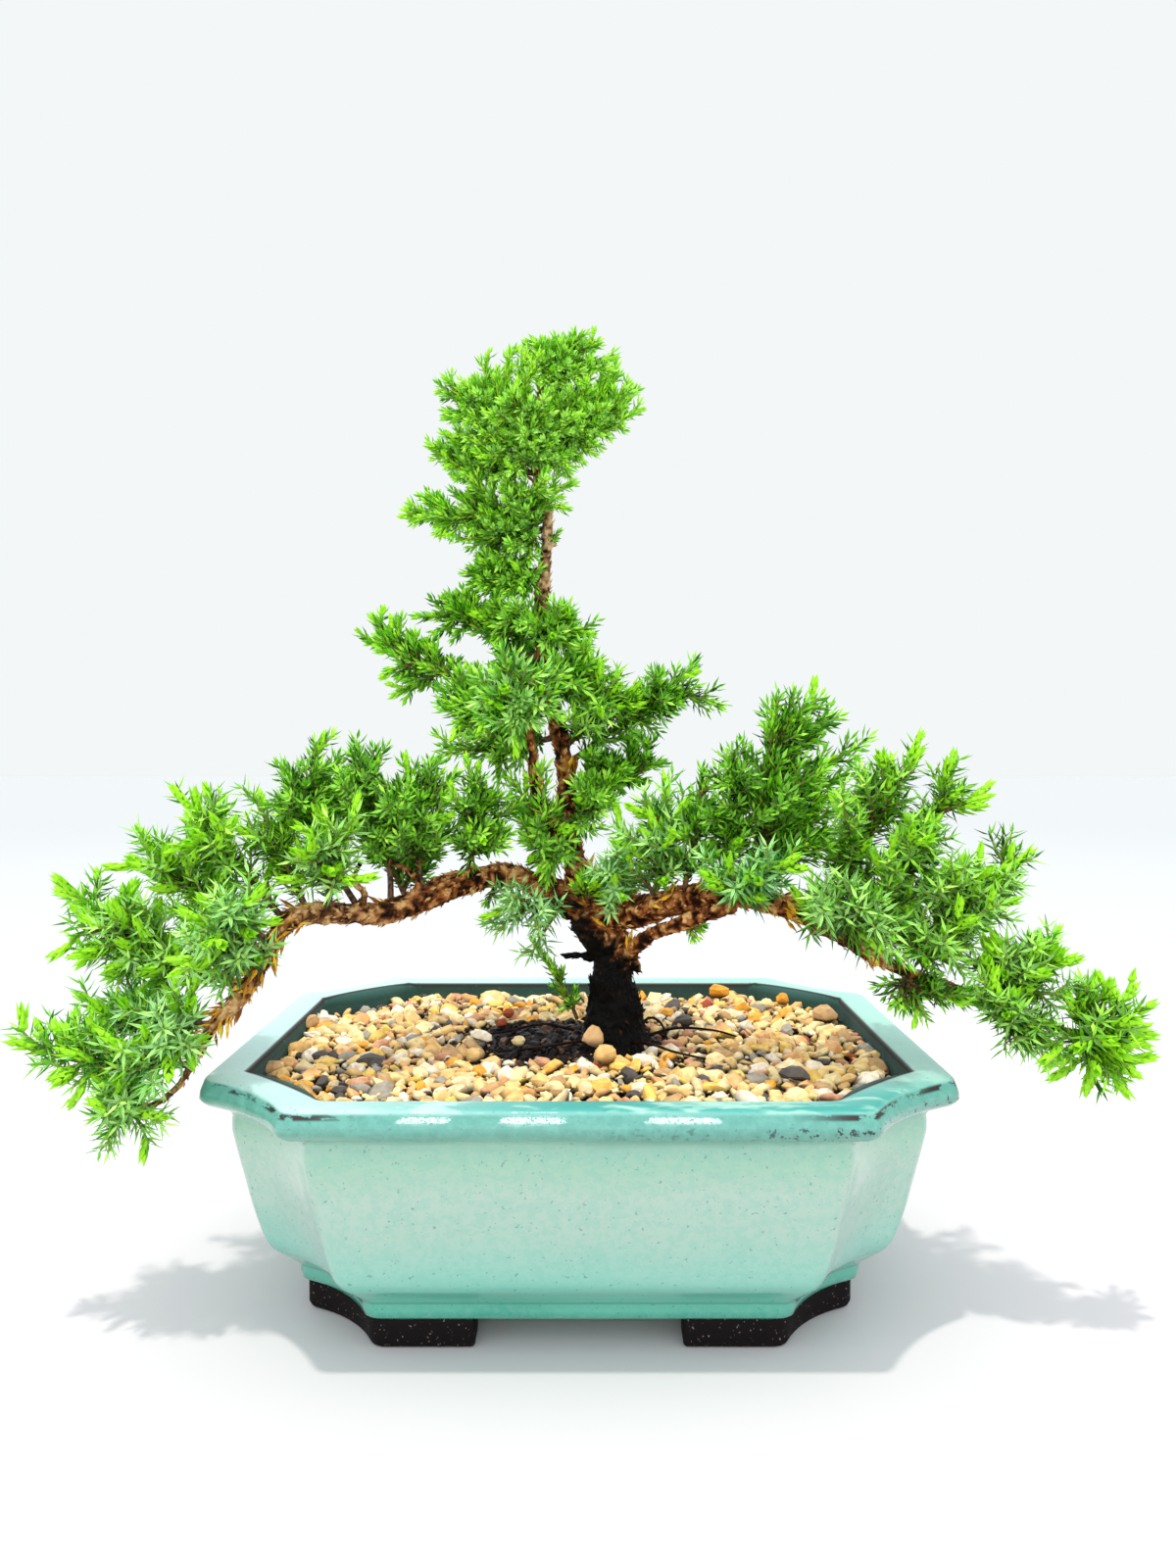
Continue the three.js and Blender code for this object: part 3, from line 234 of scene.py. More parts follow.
# The sprays: the place on the wood that each one leaves, its needles' length, the tip of its
# leader, and the tips of the twigs that fork from the leader
SPRAYS = {
    "crown_peak": ((-10.9, 3, 270), 3.6, ((2, 5, 282), (-9, 0, 281))),
    "crown_right": (
        (-14.4, 2, 250), 3.6,
        ((20, -4, 258), (13, 3, 274), (15, -10, 263), (8, -10, 249), (5, -8, 244)),
    ),
    "crown_left_top": (
        (-14.5, 2, 246), 3.6,
        ((-42, -3, 269), (-34, -12, 264), (-44, 5, 259), (-32, 10, 271), (-23, 5, 276)),
    ),
    "crown_left": ((-12.8, 1, 240), 3.6, ((-46, 2, 246), (-41, -9, 250), (-39, -6, 237))),
    "crown_front": (
        (-13.6, 2, 243), 3.6,
        ((-19, -19, 261), (-9, -21, 257), (-27, -19, 253), (-8, -17, 245), (-30, -16, 241)),
    ),
    "crown_back": (
        (-13.5, 3, 253), 3.6,
        ((-13, 21, 275), (-27, 20, 271), (6, 16, 272), (9, 12, 260), (-28, 20, 255), (-10, 18, 251)),
    ),
    "crown_low_left": ((-10.7, 0, 231), 4, ((-56, -2, 226), (-49, 3, 233), (-44, -7, 221))),
    "neck_left": (
        (-10.3, 0, 223), 4,
        ((-38, -3, 219), (-35, 3, 230), (-25, -10, 223), (-27, 12, 220)),
    ),
    "neck_left_low": ((-11.1, 0, 211), 4, ((-36, 2, 206), (-32, -6, 212), (-24, -9, 201))),
    "fan_left": ((-9.3, 2, 172), 4.5, ((-69, 6, 191), (-67, 9, 198), (-60, 2, 173))),
    "fan_left_upper": ((-11, 2, 183), 4.5, ((-45, 8, 204), (-38, 4, 205), (-53, 12, 199))),
    "middle_top_left": ((-11.8, 1, 193), 5, ((-34, -4, 197), (-25, -13, 195), (-31, 8, 190))),
    "middle_top": (
        (-11.4, 1.5, 186), 5,
        ((-2, -5, 199), (-15, -14, 195), (5, -8, 192), (-1, 9, 195)),
    ),
    "middle_right": ((-10, 2, 176), 5.5, ((8, -6, 178), (5, 4, 184), (4, -12, 168))),
    "middle_left": ((-8, 2, 167), 5.5, ((-45, -5, 170), (-40, -8, 180), (-40, -11, 163))),
    "middle_low_left": ((-6.4, 2, 160), 5.5, ((-45, -8, 156), (-30, -17, 161), (-28, -5, 151))),
    "middle_front": (
        (-15.4, -15, 166), 5.5,
        ((-22, -28, 183), (-12, -29, 179), (-30, -27, 173), (-21, -28, 158)),
    ),
    "middle_back": ((-10.4, 2, 178), 5.5, ((-17, 24, 191), (-4, 23, 182), (-30, 20, 183))),
    "right_mid": (
        (-4.9, 2, 151), 5,
        ((37, -4, 183), (45, -2, 171), (26, -9, 178), (32, 8, 171)),
    ),
    "right_mid_bright": ((-5.6, 2, 156), 6, ((13, -9, 180), (18, -4, 173), (8, -15, 172))),
    "right_mid_low": ((-4.3, 2, 144), 4.5, ((27, 2, 153), (18, 9, 146), (20, 9, 161))),
    "low_trunk_right": ((-3.9, 2, 134), 5.5, ((13, -10, 149), (8, -17, 138), (7, 18, 142))),
    "low_trunk_left": ((-3.2, 1, 126), 5.5, ((-19, -10, 130), (-13, -14, 120), (-20, -7, 141))),
    "bright_spray": ((20, -10, 108.5), 7, ((26, -13, 151), (31, -17, 143), (19, -20, 136))),
    "branch_foot_spray": ((9, -4, 106.3), 6, ((13, -17, 130), (8, -23, 123), (21, 10, 122))),
    "left_over_far": ((-62, -25, 109), 5, ((-82, -38, 154), (-72, -34, 162), (-79, -45, 146))),
    "left_over_top": ((-55, -21, 109.5), 5, ((-64, -28, 160), (-59, -20, 158), (-65, -46, 149))),
    "left_over_near": ((-46, -16.5, 112), 5, ((-50, -24, 156), (-44, -14, 155), (-53, -42, 144))),
    "left_over_inner": ((-35, -11, 116.5), 5, ((-32, -20, 155), (-23, -20, 146), (-18, -22, 134))),
    "left_over_back": ((-50, -19, 111), 5, ((-72, -4, 147), (-55, 2, 145), (-41, 0, 136))),
    "left_bright_front": (
        (-70, -29, 109.9), 6.5,
        ((-64, -48, 138), (-73, -60, 132), (-60, -50, 123)),
    ),
    "left_crest": ((-76, -31.5, 109.5), 6, ((-93, -30, 147), (-87, -20, 141), (-93, -42, 137))),
    "left_crest_far": (
        (-81, -34, 107.5), 6.5,
        ((-111, -42, 147), (-103, -34, 142), (-102, -54, 137)),
    ),
    "left_upper": ((-84.5, -36.5, 103), 6.5, ((-122, -40, 135), (-121, -49, 129), (-117, -28, 125))),
    "left_front": (
        (-88, -40, 95), 6.5,
        ((-92, -68, 122), (-80, -66, 123), (-92, -72, 110), (-101, -70, 102)),
    ),
    "left_reach": (
        (-91, -42, 91), 6.5,
        (
            (-144, -42, 122), (-141, -36, 118), (-125, -51, 116), (-141, -44, 107),
            (-136, -51, 103), (-133, -37, 96),
        ),
    ),
    "left_back": ((-86.5, -38.5, 99), 6, ((-115, -8, 121), (-130, -8, 108), (-115, -2, 102))),
    "left_low": (
        (-97.5, -46, 82.4), 6.5,
        ((-139, -41, 89), (-131, -51, 86), (-130, -26, 89), (-107, -68, 86)),
    ),
    "left_tip": (
        (-103, -49, 72.4), 6.5,
        ((-151, -50, 78), (-149, -46, 82), (-140, -55, 71), (-119, -66, 83)),
    ),
    "left_bottom": ((-116, -50, 60.9), 6, ((-130, -55, 64), (-127, -50, 53), (-127, -32, 68))),
    "right_thin": ((30, -14.5, 111.5), 4.5, ((36, -20, 152), (39, -27, 140))),
    "right_over_inner": ((41, -20, 113.8), 5, ((48, -25, 159), (41, -32, 154), (55, -10, 152))),
    "right_over_top": (
        (51, -25, 113), 5.5,
        ((56, -26, 173), (68, -30, 174), (76, -20, 169), (80, -32, 160)),
    ),
    "right_front_star": ((45, -22, 113.8), 6.5, ((45, -50, 123), (57, -56, 129), (36, -44, 122))),
    "right_crest": (
        (66, -31.3, 107.4), 6,
        ((95, -36, 162), (84, -42, 157), (92, -22, 145), (69, -52, 148)),
    ),
    "right_crest_far": (
        (76, -35, 102), 6,
        ((103, -40, 157), (105, -30, 149), (111, -42, 146), (87, -58, 138)),
    ),
    "right_slope": (
        (86, -38.5, 96.5), 6,
        ((125, -40, 130), (120, -34, 135), (117, -50, 118), (99, -62, 130)),
    ),
    "right_front": ((62, -29.4, 109.5), 6.5, ((73, -68, 116), (62, -62, 120), (81, -70, 110))),
    "right_back": (
        (82, -37, 99), 5.5,
        ((93, -4, 125), (74, -2, 131), (115, -6, 121), (121, -14, 104)),
    ),
    "right_under": ((88.5, -39, 95.5), 5, ((93, -50, 82), (84, -46, 85))),
    "right_tip_high": (
        (108, -45, 88.5), 6,
        ((136, -40, 100), (129, -48, 110), (121, -58, 108), (118, -26, 98)),
    ),
    "right_tip": (
        (130, -50.6, 81.4), 6.5,
        ((152, -52, 83), (146, -46, 94), (146, -58, 71), (136, -50, 63)),
    ),
    "right_tip_low": ((112, -46, 87), 6, ((114, -60, 78), (127, -58, 75))),
    "under_left": ((-3, -2.4, 110), 6, ((-22, -22, 112), (-14, -26, 103), (-17, -16, 92))),
}
LEADER_SAG = 0.1
LEADER_SWAY = 0.14
FOOT_SWAY = 0.25
LEADER_THICK = (1.0, 0.45)
SPRIG_THICK = (0.6, 0.35)
TWIG_THICK = (0.85, 0.4)
SIDE_THICK = (0.4, 0.3)
TWIG_STEP = 2.5
SIDE_STEP = 3.2
# Gaps between side shoots in needles, on a twig and on another side shoot
SIDE_PITCH = (0.75, 0.95)
# Side shoots' lengths in needles, for those on a leader or given twig, on a filling twig, and on
# another side shoot
SIDE_LENGTH = 2.2
SIDE_LENGTH_FILL = 1.8
SIDE_LENGTH_SECOND = 1.2
LEADER_BARE = 0.14
FORK_BARE = 0.12
FORK_BACK = 0.8
FORK_ALONG = 0.3
FORK_OUT = 0.25

# Habits of shoots, by the needle's length that they are over: how far needles open at the foot,
# how much they close towards the tip, their half width, and the pitch of their whorls
HABITS = ((5.2, 1.05, 0.2, 0.078, 0.3), (4.2, 0.8, 0.3, 0.1, 0.27), (0, 0.62, 0.3, 0.125, 0.27))
YOUNG_OPEN = 0.18
YOUNG_WIDE = 0.16

# Between its forks a spray has more twigs, and none reaches further than they do
FILL_EACH = 3.2
FILL_CROWN = 7.0
FILL_BACK = 1.2
FILL_OF = {
    "under_left": 0, "right_tip": 2.5, "right_under": 0.8, "left_bright_front": 1.5, "bright_spray": 2.0,
}
FILL_REACH = (0.5, 0.95)
FILL_JITTER = 0.8
TIP_ROOM = 0.8

# Sprays whose leaders are long bare stems, and those whose side shoots are few and short
BARE_FOOTED = ("left_over_far", "left_over_top", "left_over_near", "left_over_inner")
FOOT_BARE = 0.3
SPARSE = {
    "under_left": 0.85, "sprig_at_foot": 0.6, "sprig_under_limb": 0.5, "sprig_on_stem": 0.4,
    "sprig_on_left_limb": 0.6, "right_thin": 0.8, "right_under": 0.7,
}

# Tips of more twigs, where the masses are full in front of the stem
MORE_TIPS = {
    "crown_peak": (
        (-14, 0, 279.5), (-13, -4, 277), (0, 0, 281), (-14, -8, 268), (-17, 2, 277), (-5, -6, 275),
        (5, -4, 278), (10, 2, 275), (-12, -8, 271), (8, -6, 269), (-6, -10, 268), (-11, -10, 264),
        (-1, -9, 265), (-5, -8, 264), (-8, -8, 262),
    ),
    "crown_right": (
        (16, 2, 266), (6, -12, 256), (2, -8, 264), (12, -8, 252), (0, -12, 250), (3, -5, 272), (9, 0, 271),
        (0, -6, 243), (4, -7, 247), (-5, -9, 240), (-6, -8, 260), (-3, -10, 262), (-3, -5, 237),
    ),
    "crown_left_top": (
        (-38, -4, 262), (-28, -6, 272), (-16, -6, 274), (-30, -13, 260), (-36, -10, 254), (-40, -2, 256),
        (-32, -13, 252), (-28, -14, 248), (-36, -8, 249), (-33, -11, 247), (-42, -4, 263), (-21, -4, 275),
        (-17, -6, 266), (-12, -10, 272),
    ),
    "left_over_far": (
        (-76, -36, 128), (-70, -40, 138), (-84, -30, 140), (-68, -38, 130), (-68, -30, 153),
        (-66, -34, 146),
    ),
    "bright_spray": (
        (14, -15, 128), (30, -17, 134), (12, -14, 122), (24, -19, 128), (33, -19, 126), (18, -17, 141),
        (10, -14, 133), (27, -20, 121),
    ),
    "left_over_top": ((-56, -34, 132), (-64, -36, 140), (-58, -36, 129), (-50, -36, 140)),
    "left_over_near": (
        (-42, -30, 136), (-50, -36, 132), (-40, -26, 130), (-36, -22, 149), (-56, -30, 146),
        (-41, -20, 149), (-38, -26, 141),
    ),
    "left_over_inner": (
        (-28, -26, 132), (-36, -28, 142), (-22, -24, 130), (-30, -24, 129), (-18, -16, 140),
        (-31, -22, 147),
    ),
    "left_over_back": ((-60, -6, 138), (-44, -4, 128), (-34, 2, 136)),
    "left_low": ((-104, -63, 74), (-110, -62, 70), (-99, -62, 80)),
    "right_front": ((76, -58, 106), (84, -60, 102), (70, -56, 112)),
    "right_under": ((101, -55, 92), (104, -54, 92), (110, -55, 90)),
    "right_tip_low": ((118, -56, 86), (108, -58, 92), (104, -56, 97), (122, -55, 82)),
    "right_tip_high": (
        (127, -48, 101), (116, -56, 99), (110, -56, 103), (126, -54, 92), (106, -54, 97),
        (112, -52, 106), (103, -53, 101),
    ),
    "under_left": ((-26, -20, 108), (-20, -24, 114), (-24, -18, 103)),
    "right_slope": (
        (100, -58, 112), (108, -58, 116), (94, -58, 106), (100, -54, 99), (97, -55, 104), (104, -50, 104),
    ),
    "right_tip": (
        (128, -60, 80), (134, -58, 86), (122, -57, 80), (138, -52, 91), (132, -52, 95), (126, -56, 76),
        (133, -53, 74), (128, -50, 90),
    ),
    "right_over_inner": ((44, -32, 130), (36, -28, 138), (52, -34, 138)),
    "right_over_top": (
        (58, -38, 142), (66, -40, 150), (64, -36, 130), (70, -36, 134), (66, -34, 140), (73, -38, 141),
        (76, -40, 130),
    ),
    "right_thin": ((30, -24, 132), (38, -26, 126)),
    "left_bottom": ((-108, -60, 62), (-116, -60, 66)),
    "crown_low_left": (
        (-10, -15, 234), (-3, -6, 235), (-6, -5, 229), (-22, -13, 229), (-32, -8, 236), (-16, -9, 232),
        (-27, -6, 232), (-20, 8, 234), (-22, -11, 234),
    ),
    "crown_front": (
        (-2, -18, 252), (-16, -20, 247), (-20, -15, 237), (-11, -14, 241), (-4, -13, 239), (-14, -16, 244),
        (-8, -7, 240), (-6, -9, 243),
    ),
    "crown_left": ((-30, -12, 246), (-27, 10, 240), (-45, -2, 247), (-24, -12, 236), (-34, -8, 238)),
    "neck_left": (
        (-16, -13, 226), (-20, -12, 215), (-29, -6, 227), (-31, 6, 213), (-15, -8, 212), (-24, -8, 211),
    ),
    "neck_left_low": ((-17, -10, 206), (-27, 6, 201), (-29, -4, 207)),
    "middle_top": ((-8, -16, 189), (-20, -10, 198), (-6, -12, 198)),
    "middle_right": ((-2, -14, 175), (-8, -14, 183), (2, -10, 187)),
    "middle_front": ((-8, -24, 170), (-17, -26, 168), (-5, -22, 178), (-28, -22, 164)),
    "middle_left": ((-30, -12, 175), (-24, -14, 168), (-34, 2, 172)),
    "low_trunk_left": ((-10, -13, 137), (-6, -12, 128), (-20, -12, 147), (-12, -15, 150), (-15, -10, 133)),
    "low_trunk_right": ((4, -13, 142), (0, -12, 133)),
    "right_mid_bright": ((2, -13, 163), (8, -12, 165)),
    "right_mid_low": ((12, -8, 150), (20, -6, 158), (3, -10, 155)),
}

# Small shoots of their own, that hang from the wood or stand at its foot
SMALL_SHOOTS = {
    "sprig_at_foot": ((-1, -5, 74), 4, ((-15, -10, 101), (-9, -9, 92), (-2, -9, 83), (-7, -4, 79))),
    "sprig_under_limb": ((32, -16, 107), 4, ((33, -20, 99), (36, -18, 101))),
    "sprig_at_fork": ((2, -7, 110), 4, ((-1, -14, 119), (5, -14, 117), (9, -13, 114))),
    "sprig_on_stem": ((-10.2, 0, 219), 3, ((-5, -2, 223), (-6, -3, 220))),
    "sprig_on_left_limb": ((-26, -8, 114.5), 4, ((-29, -14, 109), (-22, -13, 110))),
}
NEEDLE_SHARE = 0.9

# How blue-green and pale the needles are, for the sprays where they show it
FROST = {
    "left_bright_front": 0.45, "left_front": 0.6, "left_reach": 0.45, "left_low": 0.7, "left_tip": 0.55,
    "left_bottom": 0.5, "left_upper": 0.4, "left_back": 0.5, "right_front": 0.45,
    "right_front_star": 0.75, "right_tip_high": 0.3, "right_slope": 0.25, "under_left": 0.85,
    "bright_spray": 0.6, "branch_foot_spray": 0.8, "middle_front": 0.5, "right_tip_low": 0.3,
    "crown_front": 0.35, "crown_left": 0.35, "crown_left_top": 0.35, "crown_right": 0.3, "crown_peak": 0.25,
    "crown_low_left": 0.3, "neck_left": 0.25,
}

# How much lighter or darker than the rest the sprays are whose names start with these words: painted light
# on the crown, and painted shade on the left_over and right sprays
LIGHTER = {"crown": 0.13, "left_over": -0.1, "right": -0.12}

# Shares of shoots that end in a lime green bud, for the sprays that have many
FRESH = {
    "left_bright_front": 0.35, "left_crest": 0.3, "left_crest_far": 0.4, "left_upper": 0.45,
    "left_front": 0.2, "left_reach": 0.45, "left_low": 0.3, "left_tip": 0.5, "left_bottom": 0.4,
    "bright_spray": 0.5, "branch_foot_spray": 0.15, "right_mid_bright": 0.3, "right_crest": 0.2,
    "right_crest_far": 0.3, "right_slope": 0.25, "right_tip_high": 0.35, "right_tip": 0.6,
    "right_front_star": 0.15, "middle_top": 0.15, "middle_front": 0.15, "under_left": 0.1,
    "sprig_at_fork": 0.6,
}

# How blue-green the other sprays are, and how many of their shoots end in a bud
FROST_ELSE = 0.12
FRESH_ELSE = 0.04

# The camera: how far it stands behind, beside and above the pot's middle on the floor, its lens,
# and how many degrees it looks down
CAMERA_BACK = 353
CAMERA_ASIDE = 2.3
CAMERA_HEIGHT = 156
CAMERA_LENS = 26.48
CAMERA_DOWN = 1.73

# The studio, in metres
FLOOR_HALF = 6.0
WINDOW_PLACE = (-0.036, -1.216, 0.594)
WINDOW_TARGET = (0, 0, 0.06)
WINDOW_WIDTH = 0.42
WINDOW_HEIGHT = 0.09
WINDOW_POWER = 2.4
SUN_FROM = (-0.1, -0.2, 1)
SUN_STRENGTH = 1.8
SKY_COLOUR = (0.95, 1.0, 1.08, 1)
SKY_STRENGTH = 1.45
BACKGROUND = (0.896, 0.93, 0.939, 1)


# Node trees


class Field:
    """A node's socket in an expression, where arithmetic adds Math nodes"""

    def __init__(self, tree, socket):
        self.tree = tree
        self.socket = socket

    def of(self, name):
        """Another output of the same node"""
        return Field(self.tree, usable(self.socket.node.outputs, name))

    def calc(self, operation, *values):
        return self.tree.add("ShaderNodeMath", {"operation": operation}, dict(enumerate(values)))

    def rise(self, low, high):
        """Goes smoothly from 0 at low to 1 at high"""
        settings = {"interpolation_type": "SMOOTHSTEP"}
        return self.tree.add(
            "ShaderNodeMapRange", settings, {"Value": self, "From Min": low, "From Max": high}
        )

    def away(self, value):
        """How far this is from a value, on either side"""
        gap = self - value
        return gap.calc("ABSOLUTE", gap)

    def near(self, value, full, none):
        """1 within one distance of a value, and 0 beyond another"""
        return 1 - self.away(value).rise(full, none)

    def lesser(self, other):
        return self.calc("MINIMUM", self, other)

    def __add__(self, other):
        return self.calc("ADD", self, other)

    def __sub__(self, other):
        return self.calc("SUBTRACT", self, other)

    def __rsub__(self, other):
        return self.calc("SUBTRACT", other, self)

    def __mul__(self, other):
        return self.calc("MULTIPLY", self, other)

    def __truediv__(self, other):
        return self.calc("DIVIDE", self, other)

    __radd__ = __add__
    __rmul__ = __mul__


def usable(sockets, key):
    shown = [socket for socket in sockets if socket.enabled]
    if isinstance(key, int):
        return shown[key]
    return next(socket for socket in shown if socket.name == key)


class Tree:
    """A node tree that is being written"""

    def __init__(self, node_tree):
        self.nodes = node_tree.nodes
        self.links = node_tree.links

    def add(self, kind, settings=None, inputs=None, out=0):
        """A new node of a kind, its settings first, then values or links for its inputs"""
        node = self.nodes.new(kind)
        for name, value in (settings or {}).items():
            if name == "stops":
                lay_stops(node.color_ramp, value)
            elif name == "steps":
                node.color_ramp.interpolation = "CONSTANT"
            else:
                setattr(node, name, value)
        for key, value in (inputs or {}).items():
            socket = usable(node.inputs, key)
            if isinstance(value, Field):
                self.links.new(value.socket, socket)
            else:
                socket.default_value = value
        return Field(self, usable(node.outputs, out) if node.outputs else None)

    def blend(self, factor, first, second, kind="MIX"):
        """A mix of two colours, which are sockets, numbers or written as #88c9bd"""
        settings = {"data_type": "RGBA", "blend_type": kind, "clamp_factor": True}
        first, second = (srgb(c) if isinstance(c, str) else c for c in (first, second))
        return self.add("ShaderNodeMix", settings, {"Factor": factor, "A": first, "B": second})

    def ramp(self, factor, stops, steps=False):
        settings = {"stops": stops}
        if steps:
            settings["steps"] = True
        return self.add("ShaderNodeValToRGB", settings, {"Fac": factor})

    def noise(self, vector, scale, detail=2, roughness=0.5):
        values = {"Vector": vector, "Scale": scale, "Detail": detail, "Roughness": roughness}
        return self.add("ShaderNodeTexNoise", None, values)

    def vector(self, operation, first, second):
        key = "Scale" if operation == "SCALE" else 1
        return self.add("ShaderNodeVectorMath", {"operation": operation}, {0: first, key: second})

    def attribute(self, name):
        return self.add("ShaderNodeAttribute", {"attribute_name": name}, out="Fac")

    def place(self):
        """The point being shaded, in metres in the object's frame"""
        return self.add("ShaderNodeTexCoord", out="Object")

    def parts(self, vector):
        """A vector's three numbers"""
        split = self.add("ShaderNodeSeparateXYZ", None, {0: vector})
        return split.of("X"), split.of("Y"), split.of("Z")

    def bump(self, height, distance, strength=1.0):
        values = {"Height": height, "Distance": distance, "Strength": strength}
        return self.add("ShaderNodeBump", None, values)

    def named(self, name, kind="FLOAT"):
        """An attribute that the geometry carries"""
        return self.add("GeometryNodeInputNamedAttribute", {"data_type": kind}, {"Name": name})

    def stamped(self, geometry, name, value, domain="INSTANCE", kind="FLOAT"):
        """The geometry with an attribute written on it"""
        settings = {"domain": domain, "data_type": kind}
        values = {"Geometry": geometry, "Name": name, "Value": value}
        return self.add("GeometryNodeStoreNamedAttribute", settings, values)

    def chance(self, seed, low, high, kind="FLOAT"):
        values = {"Min": low, "Max": high, "Seed": seed}
        return self.add("FunctionNodeRandomValue", {"data_type": kind}, values)

    def turned(self, rotation, axis, angle):
        """A rotation turned further about one of its own axes"""
        more = self.add("FunctionNodeAxisAngleToRotation", None, {"Axis": axis, "Angle": angle})
        values = {"Rotation": rotation, "Rotate By": more}
        return self.add("FunctionNodeRotateRotation", {"rotation_space": "LOCAL"}, values)

    def shape_of(self, socket):
        return self.add("GeometryNodeObjectInfo", None, {"Object": socket}, out="Geometry")

    def real(self, instances):
        return self.add("GeometryNodeRealizeInstances", None, {"Geometry": instances})

    def dressed(self, geometry, finish):
        return self.add("GeometryNodeSetMaterial", None, {"Geometry": geometry, "Material": finish})


def lay_stops(ramp, stops):
    while len(ramp.elements) < len(stops):
        ramp.elements.new(1)
    for element, (position, colour) in zip(ramp.elements, stops):
        element.position = position
        element.color = srgb(colour)


def srgb(code):
    """A colour as people write it, such as #88c9bd, in the linear numbers that shaders take"""
    shares = [int(code[i:i + 2], 16) / 255 for i in (1, 3, 5)]
    return (*[s / 12.92 if s <= 0.04045 else ((s + 0.055) / 1.055) ** 2.4 for s in shares], 1)


def material(name, look, fixed):
    """A material: look writes the inputs that vary, and fixed holds the shader's other values"""
    made = bpy.data.materials.new(name)
    made.use_nodes = True
    made.node_tree.nodes.clear()
    tree = Tree(made.node_tree)
    shader = tree.add("ShaderNodeBsdfPrincipled", None, {**fixed, **look(tree)})
    tree.add("ShaderNodeOutputMaterial", None, {"Surface": shader})
    return made


def geometry_tree(name, inputs):
    """An empty geometry node tree with named inputs, and its writer"""
    group = bpy.data.node_groups.new(name, "GeometryNodeTree")
    for label, kind in inputs:
        group.interface.new_socket(label, in_out="INPUT", socket_type="NodeSocket" + kind)
    group.interface.new_socket("Result", in_out="OUTPUT", socket_type="NodeSocketGeometry")
    return group, Tree(group)


def run_tree(piece, group, values):
    """Runs a geometry tree on a piece and keeps the result as its plain mesh"""
    modifier = piece.modifiers.new(group.name, "NODES")
    modifier.node_group = group
    for item in group.interface.items_tree:
        if item.in_out == "INPUT" and item.name in values:
            modifier[item.identifier] = values[item.name]
    settle(piece)


def settle(piece):
    """Turns what a piece's modifiers make into its own plain mesh"""
    graph = bpy.context.evaluated_depsgraph_get()
    made = bpy.data.meshes.new_from_object(
        piece.evaluated_get(graph), preserve_all_data_layers=True, depsgraph=graph
    )
    old = piece.data
    piece.modifiers.clear()
    piece.data = made
    bpy.data.meshes.remove(old)


# Meshes


def raw_mesh(name, vertices, faces=(), edges=()):
    mesh = bpy.data.meshes.new(name)
    mesh.from_pydata(list(vertices), list(edges), list(faces))
    mesh.update()
    return mesh


def put(name, data):
    """A new object in the scene"""
    made = bpy.data.objects.new(name, data)
    bpy.context.scene.collection.objects.link(made)
    return made


def mesh_piece(name, vertices, faces=(), edges=()):
    """An object from points in millimetres round the pot's centre line"""
    metres = np.array(vertices, float) * MM + (POT_X, POT_Y, 0)
    return put(name, raw_mesh(name, metres.tolist(), faces, edges))


def millimetres(piece):
    """A piece's points in millimetres round the pot's centre line"""
    flat = np.empty(len(piece.data.vertices) * 3)
    piece.data.vertices.foreach_get("co", flat)
    return (flat.reshape(-1, 3) - (POT_X, POT_Y, 0)) / MM


def set_millimetres(piece, points):
    metres = points * MM + (POT_X, POT_Y, 0)
    piece.data.vertices.foreach_set("co", metres.astype(np.float32).ravel())
    piece.data.update()


def give(piece, name, values, kind="FLOAT", key="value"):
    """Writes one value for each point of a piece, under a name"""
    layer = piece.data.attributes.new(name, kind, "POINT")
    layer.data.foreach_set(key, np.array(values, np.float32).ravel())


def around(count):
    """Even turns round a circle"""
    return [2 * math.pi * i / count for i in range(count)]


def merged(parts):
    """Points and faces of several parts as those of one"""
    vertices = []
    faces = []
    for more, more_faces in parts:
        start = len(vertices)
        vertices += more
        faces += [tuple(start + i for i in face) for face in more_faces]
    return vertices, faces


def loft(rings):
    """Points and faces of rings of equal count laid one after another, closed at both ends"""
    count = len(rings[0])
    vertices = [point for ring in rings for point in ring]
    faces = []
    for k in range(len(rings) - 1):
        for i in range(count):
            j = (i + 1) % count
            faces.append((k * count + i, k * count + j, (k + 1) * count + j, (k + 1) * count + i))
    last = (len(rings) - 1) * count
    for start, ring, turn in ((0, rings[0], -1), (last, rings[-1], 1)):
        middle = len(vertices)
        vertices.append(tuple(np.mean(ring, axis=0)))
        for i in range(count):
            pair = (start + i, start + (i + 1) % count)[::turn]
            faces.append((middle, *pair))
    return vertices, faces


def smooth(piece, sharp_over=None):
    piece.data.shade_smooth()
    if sharp_over is not None:
        piece.data.set_sharp_from_angle(angle=math.radians(sharp_over))


def hand_over(piece, slot, *nodes):
    """Puts a finished piece on the body in place of its nodes; its slot is not used"""
    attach(piece, "root")
    if nodes:
        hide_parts(*nodes)


def spline_through(points, step):
    """A smooth run through points of any number of values, about a step apart"""
    points = [np.array(p, float) for p in points]
    ends = [2 * points[0] - points[1], *points, 2 * points[-1] - points[-2]]
    run = []
    for a, b, c, d in zip(ends, ends[1:], ends[2:], ends[3:]):
        count = max(1, round(np.linalg.norm((c - b)[:3]) / step))
        for k in range(count):
            t = k / count
            run.append(
                0.5 * (2 * b + (c - a) * t + (2 * a - 5 * b + 4 * c - d) * t**2
                       + (3 * b - a - 3 * c + d) * t**3)
            )
    run.append(points[-1])
    return np.array(run)


# The pot


def eased(before, corner, after, steps):
    """A rounded corner from before to after"""
    arc = []
    for k in range(steps + 1):
        t = k / steps
        arc.append(tuple(
            (1 - t) ** 2 * p + 2 * t * (1 - t) * c + t**2 * q
            for p, c, q in zip(before, corner, after)
        ))
    return arc


